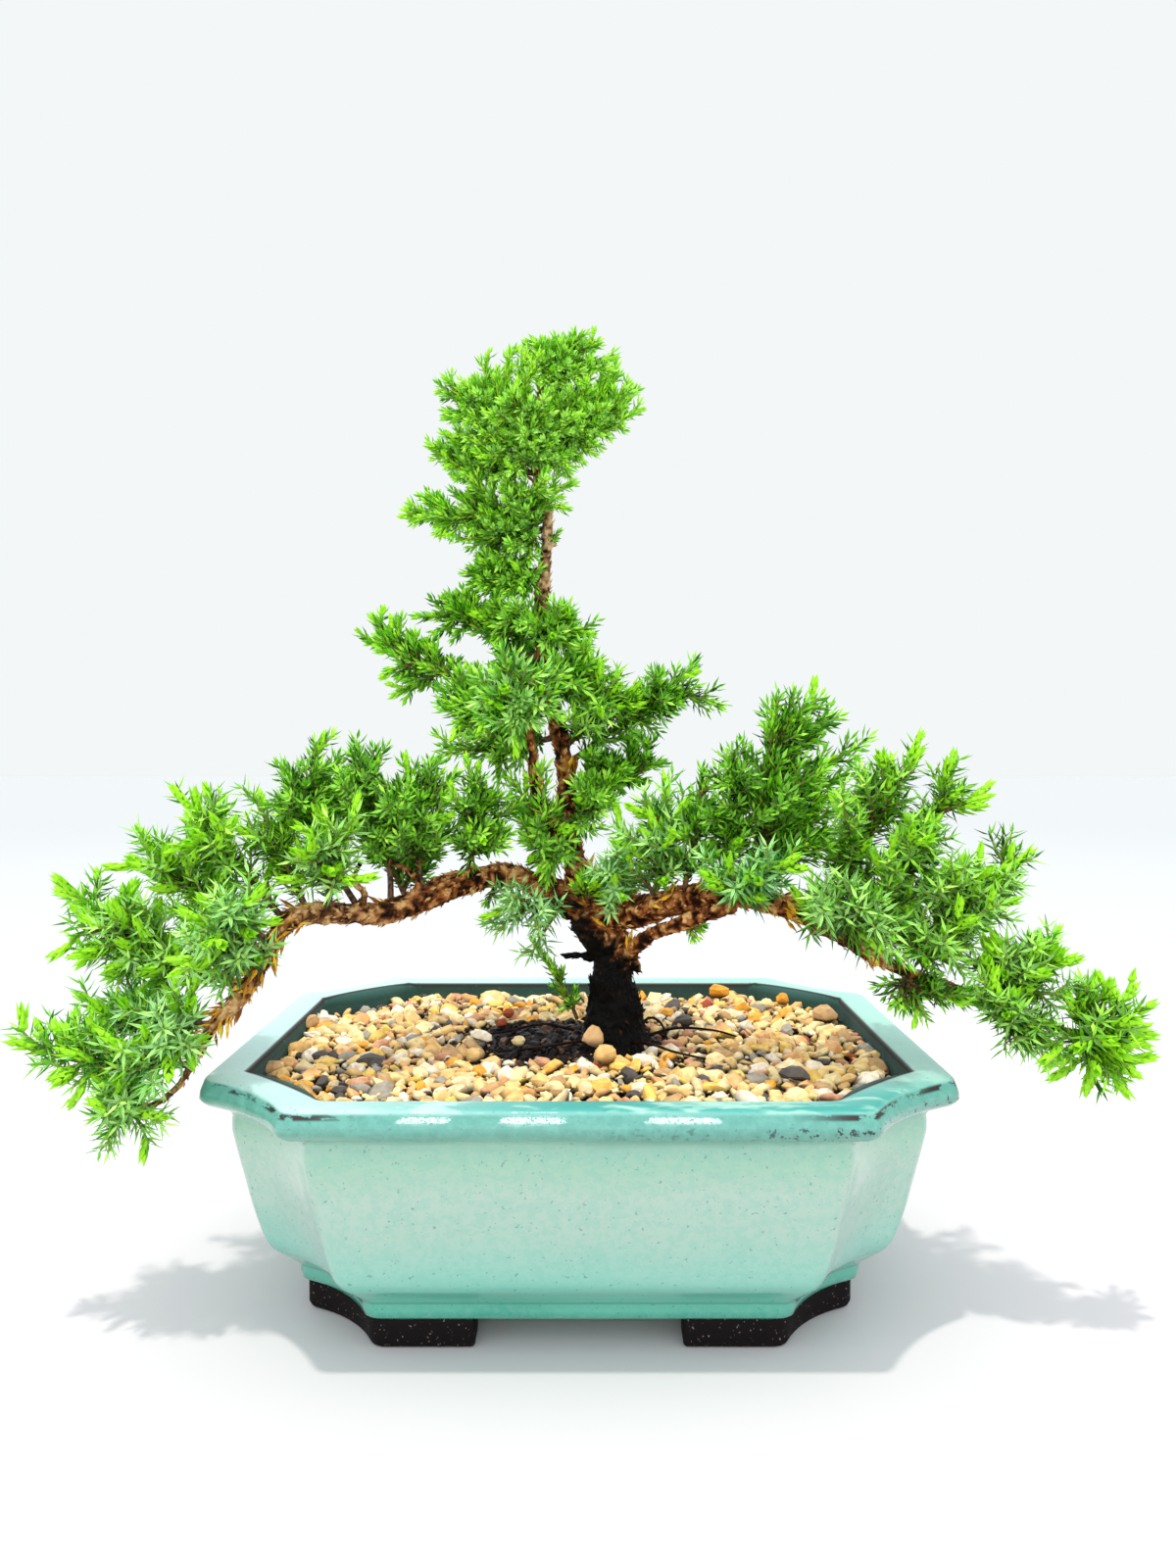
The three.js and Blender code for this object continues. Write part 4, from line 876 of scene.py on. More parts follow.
def corner_run(inset):
    """One corner of the pot's outline, from the end's straight side to the long side"""
    half_x = POT_LENGTH / 2 - inset
    half_y = POT_DEPTH / 2 - inset
    cut = CORNER_CUT - CORNER_TAPER * inset

    def hollow(share):
        sink = 4 * CORNER_HOLLOW * share * (1 - share) * math.sqrt(0.5)
        return half_x - cut * share - sink, half_y - cut * (1 - share) - sink

    start = ARRIS_EASE / (cut * math.sqrt(2))
    run = eased((half_x, half_y - cut - ARRIS_EASE), (half_x, half_y - cut), hollow(start), ARRIS_STEPS)
    for k in range(1, CORNER_STEPS):
        run.append(hollow(start + (1 - 2 * start) * k / CORNER_STEPS))
    run += eased(
        hollow(1 - start), (half_x - cut, half_y), (half_x - cut - ARRIS_EASE, half_y), ARRIS_STEPS
    )
    return run


def outline(inset, z):
    """The pot's outline seen from above, anticlockwise, with the same count of points at any inset"""
    corner = corner_run(inset)
    back = corner[::-1]
    runs = (
        corner,
        [(-x, y) for x, y in back],
        [(-x, -y) for x, y in corner],
        [(x, -y) for x, y in back],
    )
    ring = []
    for run, following in zip(runs, runs[1:] + runs[:1]):
        ring += run
        (x, y), (next_x, next_y) = run[-1], following[0]
        for k in range(1, SIDE_STEPS):
            share = k / SIDE_STEPS
            ring.append((x + (next_x - x) * share, y + (next_y - y) * share))
    return [(x, y, z) for x, y in ring]


def make_glazed_pot(glaze):
    profile = spline_through([(inset, z, 0) for inset, z in OUTER_WALL + INNER_WALL], PROFILE_STEP)
    piece = mesh_piece("glazed_pot", *loft([outline(inset, z) for inset, z, _ in profile]))
    for side in (-1, 1):
        ring = [
            (side * DRAIN_X + DRAIN_RADIUS * math.cos(turn), DRAIN_RADIUS * math.sin(turn))
            for turn in around(DRAIN_SIDES)
        ]
        drill = mesh_piece("drill", *loft([[(x, y, z) for x, y in ring] for z in (0, 2 * POT_FLOOR)]))
        cut = piece.modifiers.new("drain", "BOOLEAN")
        cut.operation = "DIFFERENCE"
        cut.solver = "EXACT"
        cut.object = drill
        settle(piece)
        bpy.data.objects.remove(drill)
    piece.data.materials.append(glaze)
    smooth(piece, WALL_SHARP)
    hand_over(piece, "glaze", "pot")


def foot_section(z_top):
    """A foot's section as the share across it and the height, its lower edges rounded"""
    edge = FOOT_EDGE / FOOT_WIDTH
    outer = [(0, z_top), (0, FOOT_EDGE), (0.3 * edge, 0.3 * FOOT_EDGE), (edge, 0)]
    return outer + [(1 - share, z) for share, z in reversed(outer)]


def foot_path(inset):
    """The line of one foot from the end of the pot round the corner to its front"""
    corner = corner_run(inset)
    half_x = POT_LENGTH / 2 - inset
    half_y = POT_DEPTH / 2 - inset
    sides = [(half_x, FOOT_GAP_Y + (corner[0][1] - FOOT_GAP_Y) * k / 4) for k in range(4)]
    fronts = [(FOOT_GAP_X + (corner[-1][0] - FOOT_GAP_X) * k / 4, half_y) for k in range(3, -1, -1)]
    return sides + corner + fronts


def make_feet(clay):
    section = foot_section(FOOT_TOP)
    feet = []
    for side_x in (-1, 1):
        for side_y in (-1, 1):
            rings = []
            for (x0, y0), (x1, y1) in zip(foot_path(FOOT_INSET), foot_path(FOOT_INSET + FOOT_WIDTH)):
                rings.append([
                    (side_x * (x0 + (x1 - x0) * s), side_y * (y0 + (y1 - y0) * s), z) for s, z in section
                ])
            vertices, faces = loft(rings)
            turn = -1 if side_x * side_y > 0 else 1
            feet.append((vertices, [face[::turn] for face in faces]))
    piece = mesh_piece("clay_feet", *merged(feet))
    piece.data.materials.append(clay)
    edges = piece.modifiers.new("worn_edges", "BEVEL")
    edges.width = FOOT_WEAR * MM
    edges.segments = 2
    edges.limit_method = "ANGLE"
    edges.angle_limit = math.radians(50)
    settle(piece)
    smooth(piece, 40)
    hand_over(piece, "glaze")


# The filling


def patch_reach(turn):
    """How far the bare soil goes each way from its middle, as shares of its half sizes"""
    return 1 + 0.13 * math.sin(3 * turn + 1) + 0.08 * math.sin(5 * turn) + 0.07 * math.sin(9 * turn + 2)


def patch_share(x, y):
    """0 at the middle of the bare soil, and 1 at its edge"""
    across = (x - PATCH_X) / PATCH_HALF_X
    along = (y - PATCH_Y) / PATCH_HALF_Y
    return math.hypot(across, along) / patch_reach(math.atan2(along, across))


def inside_outline(x, y, inset):
    half_x = POT_LENGTH / 2 - inset
    half_y = POT_DEPTH / 2 - inset
    cut = CORNER_CUT - CORNER_TAPER * inset + CORNER_HOLLOW
    return abs(x) < half_x and abs(y) < half_y and abs(x) + abs(y) < half_x + half_y - cut


def soil_height(x, y):
    """The top of the soil: low under the gravel and a crumbly mound where it is bare"""
    share = patch_share(x, y)
    rise = max(0.0, min(1.0, (1.1 - share) / 0.5))
    crumbs = 1.0 * noise.noise(Vector((x, y, 0)) * 0.35) + 0.9 * noise.noise(Vector((x, y, 5)) * 0.9)
    return SOIL_TOP + (PATCH_CROWN - SOIL_TOP - 1) * rise * rise * (3 - 2 * rise) + crumbs


def make_soil(earth):
    rings = []
    wall = [(inset, z) for inset, z in reversed(INNER_WALL) if SOIL_LOW < z < SOIL_TOP]
    for inset, z in [(31, SOIL_LOW), *wall, (12.3, SOIL_TOP)]:
        rings.append(outline(inset + WALL_ROOM, z))
    rim = rings[-1]
    for k in range(1, SOIL_RINGS):
        share = k / SOIL_RINGS
        ring = []
        for x, y, _ in rim:
            x_in = x + (PATCH_X - x) * share
            y_in = y + (PATCH_Y - y) * share
            ring.append((x_in, y_in, soil_height(x_in, y_in)))
        rings.append(ring)
    piece = mesh_piece("soil_filling", *loft(rings))
    piece.data.materials.append(earth)
    smooth(piece)
    hand_over(piece, "soil", "soil")


def stone_bed(height, patch_room, soil=False):
    """A sheet for one layer of stones, open round the bare soil, or a sheet of the bare soil itself"""
    columns = int(POT_LENGTH / GRAVEL_CELL)
    rows = int(POT_DEPTH / GRAVEL_CELL)
    places = {}
    vertices = []
    faces = []

    def corner(i, j):
        if (i, j) not in places:
            x = i * GRAVEL_CELL - POT_LENGTH / 2
            y = j * GRAVEL_CELL - POT_DEPTH / 2
            places[i, j] = len(vertices)
            lie = soil_height(x, y) if soil else height + 1.1 * noise.noise(Vector((x, y, 2)) * 0.06)
            vertices.append((x, y, lie))
        return places[i, j]

    for i in range(columns):
        for j in range(rows):
            x = (i + 0.5) * GRAVEL_CELL - POT_LENGTH / 2
            y = (j + 0.5) * GRAVEL_CELL - POT_DEPTH / 2
            ragged = patch_room + 0.3 * noise.noise(Vector((x, y, height)) * 0.12)
            bare = patch_share(x, y) < ragged
            if inside_outline(x, y, GRAVEL_INSET) and bare == soil:
                faces.append((corner(i, j), corner(i + 1, j), corner(i + 1, j + 1), corner(i, j + 1)))
    return vertices, faces


def stone_shape(seed, rings, sides):
    """Points and faces of one stone of about unit size: a ball with a few flats cut on it"""
    chance = random.Random(seed)
    cuts = [
        (unit(np.array([chance.gauss(0, 1) for _ in range(3)])), chance.uniform(0.3, 0.42))
        for _ in range(STONE_CUTS)
    ]
    levels = []
    for k in range(rings):
        rise = math.pi * (k + 1) / (rings + 1)
        turns = [2 * math.pi * (i + 0.5 * (k % 2)) / sides for i in range(sides)]
        wide = 0.5 * math.sin(rise)
        low = -0.5 * math.cos(rise)
        levels.append([(wide * math.cos(turn), wide * math.sin(turn), low) for turn in turns])
    vertices, faces = loft(levels)
    vertices[-2:] = [(0, 0, -0.5), (0, 0, 0.5)]
    points = np.array(vertices, float)
    for way, reach in cuts:
        over = np.maximum(points @ way - reach, 0)
        points -= over[:, None] * way
    return points, faces


def stone_kinds(rings, sides):
    """A few different stones that the gravel is made of"""
    kinds = bpy.data.collections.new("stone_kinds")
    bpy.context.scene.collection.children.link(kinds)
    for seed in range(STONE_KINDS):
        points, faces = stone_shape(seed, rings, sides)
        made = bpy.data.objects.new("stone_kind", raw_mesh("stone_kind", points.tolist(), faces))
        kinds.objects.link(made)
        # high: how far up the stone a point lies, which the stone's painted shade reads
        give(made, "high", 2 * points[:, 2])
        smooth(made, STONE_SHARP)
    return kinds


def drop_kinds(kinds):
    for kind in list(kinds.objects):
        bpy.data.objects.remove(kind)
    bpy.data.collections.remove(kinds)


def stones_tree():
    """Geometry nodes that lay stones on a sheet, each of its own kind, size, turn and tone"""
    group, tree = geometry_tree("stones", (
        ("Sheet", "Geometry"), ("Kinds", "Collection"), ("Spacing", "Float"), ("Smallest", "Float"),
        ("Largest", "Float"), ("Lumps", "Float"), ("Seed", "Int"), ("Stone", "Material"),
    ))
    given = tree.add("NodeGroupInput", out="Sheet")
    seed = given.of("Seed")
    points = tree.add("GeometryNodeDistributePointsOnFaces", {"distribute_method": "POISSON"}, {
        "Mesh": given, "Distance Min": given.of("Spacing"), "Density Max": STONES_AT_MOST,
        "Density Factor": 1.0, "Seed": seed,
    })
    kinds = tree.add("GeometryNodeCollectionInfo", None, {
        "Collection": given.of("Kinds"), "Separate Children": True, "Reset Children": True,
    })
    share = tree.chance(seed, 0.0, 1.0)
    size = given.of("Smallest") + share * share * (given.of("Largest") - given.of("Smallest"))
    shares = tree.chance(seed + 1, (0.85, 0.62, 0.48), (1.45, 1.05, 0.85), "FLOAT_VECTOR")
    turn = tree.chance(seed + 2, (-0.7, -0.7, 0), (0.7, 0.7, 6.28), "FLOAT_VECTOR")
    stones = tree.add("GeometryNodeInstanceOnPoints", None, {
        "Points": points, "Instance": kinds, "Pick Instance": True,
        "Instance Index": tree.chance(seed + 4, 0, STONE_KINDS - 1, "INT"),
        "Rotation": tree.add("FunctionNodeEulerToRotation", None, {0: turn}),
        "Scale": tree.vector("SCALE", shares, size),
    })
    stones = tree.real(tree.stamped(stones, "tone", tree.chance(seed + 3, 0.0, 1.0)))
    tone = tree.named("tone")
    shift = tree.add("ShaderNodeCombineXYZ", None, {"X": tone * 9, "Y": tone * 31, "Z": tone * 57})
    lumps = tree.add("ShaderNodeTexNoise", None, {
        "Vector": tree.vector("ADD", tree.add("GeometryNodeInputPosition"), shift),
        "Scale": STONE_LUMP_SCALE, "Detail": 1,
    }, out="Color")
    offset = tree.vector("SCALE", tree.vector("SUBTRACT", lumps, (0.5, 0.5, 0.5)), given.of("Lumps"))
    stones = tree.add("GeometryNodeSetPosition", None, {"Geometry": stones, "Offset": offset})
    tree.add("NodeGroupOutput", None, {"Result": tree.dressed(stones, given.of("Stone"))})
    return group


def lay_stones(piece, group, kinds, sizes, seed, finish):
    labels = ("Spacing", "Smallest", "Largest", "Lumps")
    values = {label: size * MM for label, size in zip(labels, sizes)}
    run_tree(piece, group, {**values, "Kinds": kinds, "Seed": seed, "Stone": finish})


def make_gravel(stone, earth):
    group = stones_tree()
    big = stone_kinds(*BIG_STONE)
    small = stone_kinds(*SMALL_STONE)
    crumbs = mesh_piece("soil_crumbs", *stone_bed(0, CRUMB_ROOM, True))
    lay_stones(crumbs, group, small, CRUMBS, 5, earth)
    hand_over(crumbs, "soil")
    for name, height, room, *sizes in STONE_LAYERS:
        piece = mesh_piece(name, *stone_bed(height, room))
        lay_stones(piece, group, big if name == "gravel_top" else small, sizes, len(name), stone)
        hand_over(piece, "gravel", *(("gravel",) if name == "gravel_under" else ()))
    drop_kinds(big)
    drop_kinds(small)


def make_lone_stones(stone):
    """The few stones that catch the eye, each at its own place"""
    parts = []
    rows = {"tone": [], "high": []}
    for number, (middle, sizes, turn, lean, tone) in enumerate(LONE_STONES):
        points, faces = stone_shape(number, *BIG_STONE)
        pose = Euler((math.radians(lean), 0, math.radians(turn))).to_matrix()
        placed = (points * 1.15 * sizes) @ np.array(pose).T + middle
        parts.append((placed.tolist(), faces))
        rows["tone"] += [tone] * len(points)
        # high: how far up the stone a point lies, raised a little so that these stones get less of the
        # painted shade
        rows["high"] += (0.3 + 2 * points[:, 2]).tolist()
    piece = mesh_piece("single_stones", *merged(parts))
    for key, values in rows.items():
        give(piece, key, values)
    piece.data.materials.append(stone)
    smooth(piece, 40)
    hand_over(piece, "gravel")


# The wood


def framed(points):
    """For each point of a run: the way ahead and two sideways directions that don't twist"""
    ahead = np.gradient(points, axis=0)
    ahead /= np.linalg.norm(ahead, axis=1)[:, None]
    side = np.array([1.0, 0, 0]) if abs(ahead[0][0]) < 0.9 else np.array([0, 1.0, 0])
    frames = []
    for way in ahead:
        side = side - way * side.dot(way)
        side = side / np.linalg.norm(side)
        frames.append((way, side, np.cross(way, side)))
    return frames


def limb_rings(route, number):
    run = spline_through(route, LIMB_STEP)
    rings = []
    for k, (point, (_, side, other)) in enumerate(zip(run, framed(run[:, :3]))):
        radius = max(LIMB_THINNEST, BARK_SHARE * point[3] - BARK_ROOM)
        ring = []
        for turn in around(LIMB_SIDES):
            out = math.cos(turn) * side + math.sin(turn) * other
            spot = Vector((math.cos(turn), math.sin(turn), k * 0.11 + 7 * number))
            uneven = 1 + LIMB_UNEVEN * noise.noise(spot)
            ring.append(tuple(point[:3] + out * radius * uneven))
        rings.append(ring)
    return rings


def limb_lines():
    """Points along all limbs, with the way ahead, the length so far and the limb's number"""
    rows = []
    for number, route in enumerate(LIMBS):
        run = spline_through(route, LIMB_STEP)
        ways = framed(run[:, :3])
        for k, (point, (ahead, side, other)) in enumerate(zip(run, ways)):
            rows.append((point[:3], point[3], ahead, side, other, k * LIMB_STEP, number))
    return rows


def make_wood(bark):
    limbs = [loft(limb_rings(route, number)) for number, route in enumerate(LIMBS)]
    piece = mesh_piece("wood", *merged(limbs))
    merge = piece.modifiers.new("merge", "REMESH")
    merge.mode = "VOXEL"
    merge.voxel_size = WOOD_VOXEL * MM
    settle(piece)
    rough_bark(piece)
    piece.data.materials.clear()
    piece.data.materials.append(bark)
    smooth(piece)
    hand_over(piece, "bark", "trunk")
    return piece


def rough_bark(piece):
    """Raises fibres and plates along each limb, and writes what the materials and flakes read"""
    lines = limb_lines()
    tree = KDTree(len(lines))
    for k, row in enumerate(lines):
        tree.insert(Vector(row[0]), k)
    tree.balance()
    points = millimetres(piece)
    normals = np.array([v.normal for v in piece.data.vertices])
    rows = {key: np.zeros(len(points)) for key in ("lift", "ridge", "wet", "flaky", "dry")}
    grain = np.zeros((len(points), 3))
    for k, point in enumerate(points):
        _, nearest, _ = tree.find(Vector(point))
        middle, radius, ahead, side, other, length, number = lines[nearest]
        out = point - middle
        flat = Vector((out.dot(side), out.dot(other), 0))
        fine = Vector((flat.x * 1.0, flat.y * 1.0, length * 0.3 + 40 * number))
        broad = Vector((flat.x * 0.4, flat.y * 0.4, length * 0.14 + 40 * number))
        ridge = 1 - 2 * abs(noise.noise(fine))
        plates = noise.noise(broad)
        pits = noise.noise(Vector(point) * 0.55)
        rings = 1 - 2 * abs(noise.noise(Vector((flat.x * 0.25, flat.y * 0.25, length * 0.62 + 9 * number))))
        lift = (0.35 * ridge + 0.4 * rings + 0.6 * plates + 0.5 * pits) * min(1.0, radius / 4 + 0.2)
        # ridge: the height of the relief, whose low places the bark's colour paints darker, partly as
        # painted shade
        rows["ridge"][k] = 0.4 * ridge + 0.7 * rings + 0.5 * plates + 0.5 * pits - 0.2
        grain[k] = ahead
        edge = 114 - 1.0 * (point[0] + 5) + 9 * plates + 5 * pits
        by_trunk = math.hypot(point[0] - 8, point[1]) < 17
        wet = max(0.0, min(1.0, (edge - point[2]) / 5)) if by_trunk else 0.0
        rows["wet"][k] = wet
        ribs = 1 - 2.6 * abs(noise.noise(Vector((flat.x * 0.34, flat.y * 0.34, length * 0.03))))
        rows["lift"][k] = lift + 1.2 * wet * ribs * min(1.0, radius / 8)
        rows["flaky"][k] = min(1.0, max(0.15, 0.55 + 1.3 * plates)) * min(1.0, radius / 3)
        rows["dry"][k] = dryness(point) * (1 - wet)
    set_millimetres(piece, points + normals * rows.pop("lift")[:, None])
    give(piece, "grain", grain, "FLOAT_VECTOR", "vector")
    for key, values in rows.items():
        give(piece, key, values)


def dryness(point):
    """How thickly dry leaves cling at a point: 1 in the middle of each of their places"""
    best = 0.0
    for middle, reach in DRY_PLACES:
        best = max(best, 1 - np.linalg.norm(point - middle) / reach)
    return best


def flake_mesh():
    """One flake of unit length and width: a thin closed leaf of bark that lifts at its tip"""
    vertices = [
        (-0.1, 0, 0), (0.45, 0.5, 0.1), (0.45, -0.5, 0.1), (1, 0, 0.3), (0.45, 0, 0.25), (0.45, 0, -0.02),
    ]
    faces = [
        (0, 2, 4), (2, 3, 4), (3, 1, 4), (1, 0, 4), (0, 5, 2), (2, 5, 3), (3, 5, 1), (1, 5, 0),
    ]
    return put("flake_shape", raw_mesh("flake_shape", vertices, faces))


def flakes_tree():
    """Geometry nodes that stand flakes on the wood along its grain, where an attribute asks for them"""
    group, tree = geometry_tree("flakes", (
        ("Wood", "Geometry"), ("Where", "String"), ("Thickest", "Float"), ("Shortest", "Float"),
        ("Longest", "Float"), ("Width", "Float"), ("Lift", "Float"), ("Seed", "Int"),
        ("Flake", "Object"), ("Finish", "Material"),
    ))
    given = tree.add("NodeGroupInput", out="Wood")
    seed = given.of("Seed")
    wanted = tree.named(given.of("Where")) * given.of("Thickest")
    points = tree.add("GeometryNodeDistributePointsOnFaces", None, {
        "Mesh": given, "Density": wanted, "Seed": seed,
    })
    facing = tree.add("FunctionNodeAlignRotationToVector", {"axis": "Z"}, {"Vector": points.of("Normal")})
    facing = tree.add("FunctionNodeAlignRotationToVector", {"axis": "X", "pivot_axis": "Z"}, {
        "Rotation": facing, "Vector": tree.named("grain", "FLOAT_VECTOR"),
    })
    facing = tree.turned(facing, (0, 0, 1), tree.chance(seed + 1, -0.7, 0.7))
    facing = tree.turned(facing, (0, 1, 0), given.of("Lift") * tree.chance(seed + 2, -1.0, 0.1))
    length = tree.chance(seed + 3, given.of("Shortest"), given.of("Longest"))
    width = length * given.of("Width") * tree.chance(seed + 4, 0.7, 1.3)
    flakes = tree.add("GeometryNodeInstanceOnPoints", None, {
        "Points": points, "Instance": tree.shape_of(given.of("Flake")), "Rotation": facing,
        "Scale": tree.add("ShaderNodeCombineXYZ", None, {"X": length, "Y": width, "Z": length * 0.8}),
    })
    flakes = tree.real(tree.stamped(flakes, "tone", tree.chance(seed + 5, 0, 1)))
    tree.add("NodeGroupOutput", None, {"Result": tree.dressed(flakes, given.of("Finish"))})
    return group


def make_flakes(wood, bark, dry):
    group = flakes_tree()
    shape = flake_mesh()
    for name, where, sizes, width, lift, finish in (
        ("bark_flakes", "flaky", BARK_FLAKES, 0.5, 0.35, bark),
        ("dry_leaves", "dry", DRY_LEAVES, 0.26, 0.6, dry),
    ):
        piece = put(name, wood.data.copy())
        thickest, shortest, longest = sizes
        run_tree(piece, group, {
            "Where": where, "Thickest": thickest, "Shortest": shortest * MM, "Longest": longest * MM,
            "Width": width, "Lift": lift, "Seed": len(name), "Flake": shape, "Finish": finish,
        })
        hand_over(piece, "bark")
    bpy.data.objects.remove(shape)


def root_rings(route):
    run = spline_through(route, ROOT_STEP)
    rings = []
    for k, (point, (_, side, other)) in enumerate(zip(run, framed(run))):
        radius = ROOT_THICK[0] - ROOT_THICK[1] * k / len(run)
        rings.append([
            tuple(point + radius * (math.cos(turn) * side + math.sin(turn) * other))
            for turn in around(ROOT_SIDES)
        ])
    return rings


def make_fine_roots(bark):
    """Wiry roots that loop over the soil and the stones"""
    vertices, faces = merged(loft(root_rings(route)) for route in FINE_ROOTS)
    piece = mesh_piece("fine_roots", vertices, faces)
    give(piece, "wet", [ROOT_WET] * len(vertices))
    piece.data.materials.append(bark)
    smooth(piece)
    hand_over(piece, "bark")


# The leafy shoots


def unit(vector):
    return vector / np.linalg.norm(vector)


def curve_points(start, control, end, step):
    """Points about a step apart on a curve that its control point draws to one side"""
    count = max(3, round(np.linalg.norm(end - start) / step))
    shares = [k / count for k in range(count + 1)]
    return [(1 - t) ** 2 * start + 2 * t * (1 - t) * control + t**2 * end for t in shares]


class Spray:
    """The paths of one spray's shoots, with what each point of a path carries"""

    def __init__(self, name, needle):
        self.name = name
        self.needle = needle
        self.chance = random.Random(name)
        self.fresh_share = FRESH.get(name, FRESH_ELSE)
        self.sparse = SPARSE.get(name, 1.0)
        habit = next(habit for habit in HABITS if needle > habit[0])
        self.starry = habit == HABITS[0]
        self.spread, self.closing, self.width, self.pitch = habit[1:]
        # light: the spray's painted light and shade, from LIGHTER
        self.light = next((more for start, more in LIGHTER.items() if name.startswith(start)), 0.0)
        self.vertices = []
        self.edges = []
        self.rows = {key: [] for key in ("thick", "size", "open", "wide", "fresh", "age", "depth")}

    def add_path(self, points, thick, bare=0.0, fresh=False, age=0.0, depth=(0.2, 0.8)):
        """One shoot: its points, its stem's radius at both ends, and the share that bears no needles"""
        count = len(points) - 1
        path_length = float(np.linalg.norm(np.diff(points, axis=0), axis=1).sum())
        start = len(self.vertices)
        for k, point in enumerate(points):
            share = k / count
            leafy = share >= bare
            near_tip = max(0.0, (share - bare) / (1 - bare)) if leafy else 0.0
            from_tip = path_length * (1 - share) / self.needle
            young = min(1.0, max(0.0, (1.6 - from_tip) / 0.7)) if fresh else 0.0
            length = self.needle * (0.85 + 0.25 * math.sin(math.pi * near_tip) - 0.05 * young)
            self.vertices.append(tuple(point))
            self.rows["thick"].append(thick[0] + (thick[1] - thick[0]) * share)
            self.rows["size"].append(length if leafy else 0.0)
            opening = self.spread - self.closing * near_tip**1.5
            self.rows["open"].append(opening + (YOUNG_OPEN - opening) * young)
            self.rows["wide"].append(self.needle * (self.width + (YOUNG_WIDE - self.width) * young))
            self.rows["fresh"].append(young)
            self.rows["age"].append(age * (1 - share))
            # depth: how deep in the spray a point lies; the needles are painted darker where it is low,
            # partly as older needles and partly as painted shade inside the mass
            self.rows["depth"].append(depth[0] + (depth[1] - depth[0]) * share + self.light)
            if k:
                self.edges.append((start + k - 1, start + k))

    def clothe(self, points, bare, length, level, depth=0.0):
        """Sets side shoots along a twig, shorter towards its tip"""
        pitch = self.needle * SIDE_PITCH[level] / self.sparse
        run = np.array(points)
        gaps = np.linalg.norm(np.diff(run, axis=0), axis=1)
        reach = np.concatenate([[0], np.cumsum(gaps)])
        frames = framed(run)
        place = reach[-1] * bare
        turn = self.chance.uniform(0, 2 * math.pi)
        while place < reach[-1] - 0.2 * self.needle:
            share = place / reach[-1]
            k = min(int(np.searchsorted(reach, place)), len(run) - 1)
            foot = np.array([np.interp(place, reach, run[:, axis]) for axis in range(3)])
            ahead, side, other = frames[k]
            out = math.cos(turn) * side + math.sin(turn) * other
            size = length * self.sparse * (1 - 0.6 * share) * self.chance.uniform(0.7, 1.15)
            lean = self.chance.uniform(0.7, 1.0)
            way = unit(math.cos(lean) * ahead + math.sin(lean) * out + np.array([0, 0, 0.15]))
            bend = unit(way + 0.5 * ahead + np.array([0, 0, 0.3]))
            tip = foot + 0.5 * size * way + 0.5 * size * bend
            side_points = curve_points(foot, foot + 0.5 * size * way, tip, SIDE_STEP)
            is_fresh = self.chance.random() < self.fresh_share * (0.4 + share)
            inner = depth + (0.1 + 0.4 * share) * (1 - depth)
            self.add_path(
                side_points, SIDE_THICK, 0.0, is_fresh, 0.25 * (1 - share), (inner, 0.45 + 0.55 * inner)
            )
            if level == 0 and size > 1.6 * self.needle:
                self.clothe(side_points, 0.3, SIDE_LENGTH_SECOND * self.needle, 1, inner)
            place += pitch * self.chance.uniform(0.8, 1.2)
            turn += GOLDEN_ANGLE

    def build(self, group, leaf, twig, needle_shape):
        piece = mesh_piece("needles_" + self.name, self.vertices, edges=self.edges)
        for key, values in self.rows.items():
            scale = MM if key in ("thick", "size", "wide") else 1
            give(piece, key, np.array(values) * scale)
        give(piece, "frost", [FROST.get(self.name, FROST_ELSE)] * len(self.vertices))
        run_tree(piece, group, {
            "Whorl pitch": self.pitch * self.needle * MM, "Seed": len(self.vertices),
            "Needle": needle_shape, "Leaf": leaf, "Twig": twig,
        })
        hand_over(piece, "needles", *(("spray_" + self.name,) if self.name in SPRAYS else ()))


def fork_start(leader, tip, bare):
    """The share of a leader where a fork to a tip leaves it, behind the place nearest the tip"""
    gaps = [np.linalg.norm(point - tip) for point in leader]
    nearest = int(np.argmin(gaps))
    length = sum(np.linalg.norm(b - a) for a, b in zip(leader, leader[1:]))
    share = nearest / (len(leader) - 1) - FORK_BACK * gaps[nearest] / length
    return max(bare, min(0.85, share))


def fill_tips(spray, foot, tips):
    """Tips for more twigs, between the given ones and a little short of them"""
    more = [np.array(tip, float) for tip in MORE_TIPS.get(spray.name, ())]
    each = FILL_CROWN if spray.name.startswith(("crown", "neck")) else FILL_EACH
    each = FILL_BACK if spray.name.endswith("back") else each
    each = 0 if spray.name in SMALL_SHOOTS else FILL_OF.get(spray.name, each)
    for _ in range(round(each * len(tips))):
        first, second = spray.chance.sample(tips, 2)
        tip = first + (second - first) * spray.chance.uniform(0.2, 0.8)
        tip = foot + (tip - foot) * spray.chance.uniform(*FILL_REACH)
        jitter = [spray.chance.uniform(-1, 1) * FILL_JITTER * spray.needle for _ in range(3)]
        more.append(tip + np.array(jitter))
    return more


